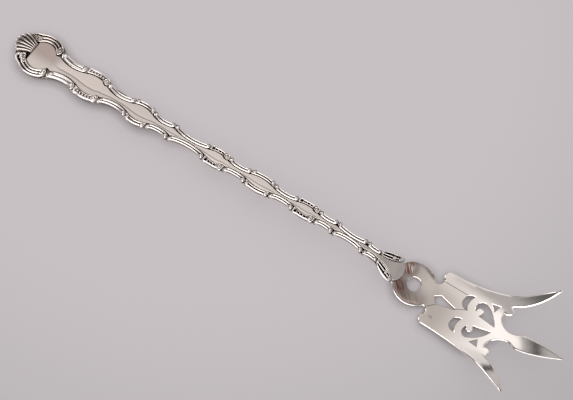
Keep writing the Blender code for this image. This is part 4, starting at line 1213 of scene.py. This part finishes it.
# %% The walls of the studio
ROOM = (
    (-1.00, 0.10), (-0.25, 0.10), (-0.06, 0.45), (0.15, 0.50), (0.207, 0.42), (0.237, 0.20), (0.25, 0.07),
    (0.272, 0.07), (0.298, 0.20), (0.329, 0.33), (0.375, 0.45), (0.40, 1.12), (0.55, 1.15), (0.70, 0.86),
    (0.75, 0.82), (0.85, 0.69), (0.94, 0.55), (0.976, 0.40), (1.00, 0.34),
)
FAR_WALL = ((0.0, 0.55), (0.22, 0.55), (0.245, 0.06), (0.315, 0.06), (0.34, 0.72), (0.55, 0.80), (0.70, 1.0))
GRADIENT = Vector((0.418, 0.506, 0.755)).normalized()


def grey(level):
    return (level, level, level, 1.0)


NEAR_STEPS, FAR_STEP = ((0.06, -0.12, grey(0.46)), (-0.20, -0.42, grey(0.13))), (0.66, 0.74)

world = bpy.data.worlds.new("studio")
bpy.context.scene.world = world
sky = empty_tree(world)
direction = add(sky, "TexCoord").outputs["Generated"]
heading = add(sky, "SeparateXYZ", [("Vector", direction)])
slant = add(sky, "VectorMath", [(0, direction), (1, GRADIENT)], operation="DOT_PRODUCT").outputs["Value"]
climb = add(sky, "MapRange", [("Value", slant), (1, -1.0), (2, 1.0)])
room = add(sky, "ValToRGB", [("Fac", climb)])
fill_ramp(room, [((position + 1) / 2, grey(level)) for position, level in ROOM])
far_wall = add(sky, "ValToRGB", [("Fac", heading.outputs["Z"])])
fill_ramp(far_wall, [(position, grey(level)) for position, level in FAR_WALL])
walls = room
for start, end, tone in [*NEAR_STEPS, (*FAR_STEP, far_wall)]:
    turned = add(sky, "MapRange", [("Value", heading.outputs["Y"]), (1, start), (2, end)],
                 interpolation_type="SMOOTHSTEP")
    walls = add(sky, "Mix", [("Factor", turned), (6, walls), (7, tone)], data_type="RGBA").outputs[2]
print("steps of grey in the room:", len(ROOM) + len(FAR_WALL))

# %% [markdown]
# Two windows, one behind the camera and one beyond the handle's end, put the white glints on the edges. Only
# reflections see this room. To the camera and to matt paper the world is a plain dome in the table's colour,
# so it lights the paper evenly.

# %% The windows and the dome
WINDOWS = (((0.15, -0.95, 0.25), 0.67, 0.76), ((-0.98, -0.08, 0.15), 0.94, 0.965))
WINDOW_LEVEL = 3.4

panes = []
for toward, dim, full in WINDOWS:
    facing = add(sky, "VectorMath", [(0, direction), (1, Vector(toward).normalized())],
                 operation="DOT_PRODUCT").outputs["Value"]
    panes.append(add(sky, "MapRange", [("Value", facing), (1, dim), (2, full)],
                     interpolation_type="SMOOTHSTEP"))
window = add(sky, "Math", [(0, panes[0]), (1, panes[1])], operation="MAXIMUM")
lit = add(sky, "Mix", [("Factor", window), (6, walls), (7, grey(WINDOW_LEVEL))], data_type="RGBA").outputs[2]
reflected = add(sky, "LightPath").outputs["Is Glossy Ray"]
seen = add(sky, "Mix", [("Factor", reflected), (6, TABLE), (7, lit)], data_type="RGBA").outputs[2]
backdrop = add(sky, "Background", [("Color", seen), ("Strength", 1.0)])
add(sky, "OutputWorld", [("Surface", backdrop)])
print("windows:", len(panes))

# %% [markdown]
# One large soft box overhead gives the faint soft shadow. It is hidden from reflections, because the drawn
# room already holds everything that the silver mirrors. The camera looks down steeply from the fork's side.

# %% Lamp and camera
LAMP_PLACE, LAMP_SIZE, LAMP_POWER = (-0.3, 0.2, 1.5), 6.0, 28.0
AZIMUTH, ELEVATION, DISTANCE = math.radians(-56.557), math.radians(67.157), 0.433111
AIM, FIELD_OF_VIEW, NEAREST = Vector((0.004362, 0.002443, 0.0)), math.radians(25), 0.01

bpy.ops.object.light_add(type="AREA", location=LAMP_PLACE)
lamp = bpy.context.object
lamp.name = "soft_box"
lamp.data.size = LAMP_SIZE
lamp.data.energy = LAMP_POWER
lamp.rotation_euler = (-Vector(lamp.location)).to_track_quat("-Z", "Y").to_euler()
lamp.visible_glossy = False
level_part = math.cos(ELEVATION)
backward = Vector((level_part * math.cos(AZIMUTH), level_part * math.sin(AZIMUTH), math.sin(ELEVATION)))
bpy.ops.object.camera_add(location=AIM + backward * DISTANCE)
camera = bpy.context.object
camera.rotation_euler = (-backward).to_track_quat("-Z", "Y").to_euler()
camera.data.sensor_fit = "HORIZONTAL"
camera.data.angle = FIELD_OF_VIEW
camera.data.clip_start = NEAREST
bpy.context.scene.camera = camera
bpy.context.scene.view_settings.view_transform = "Standard"
print("camera at", [round(value, 3) for value in camera.location], "m")
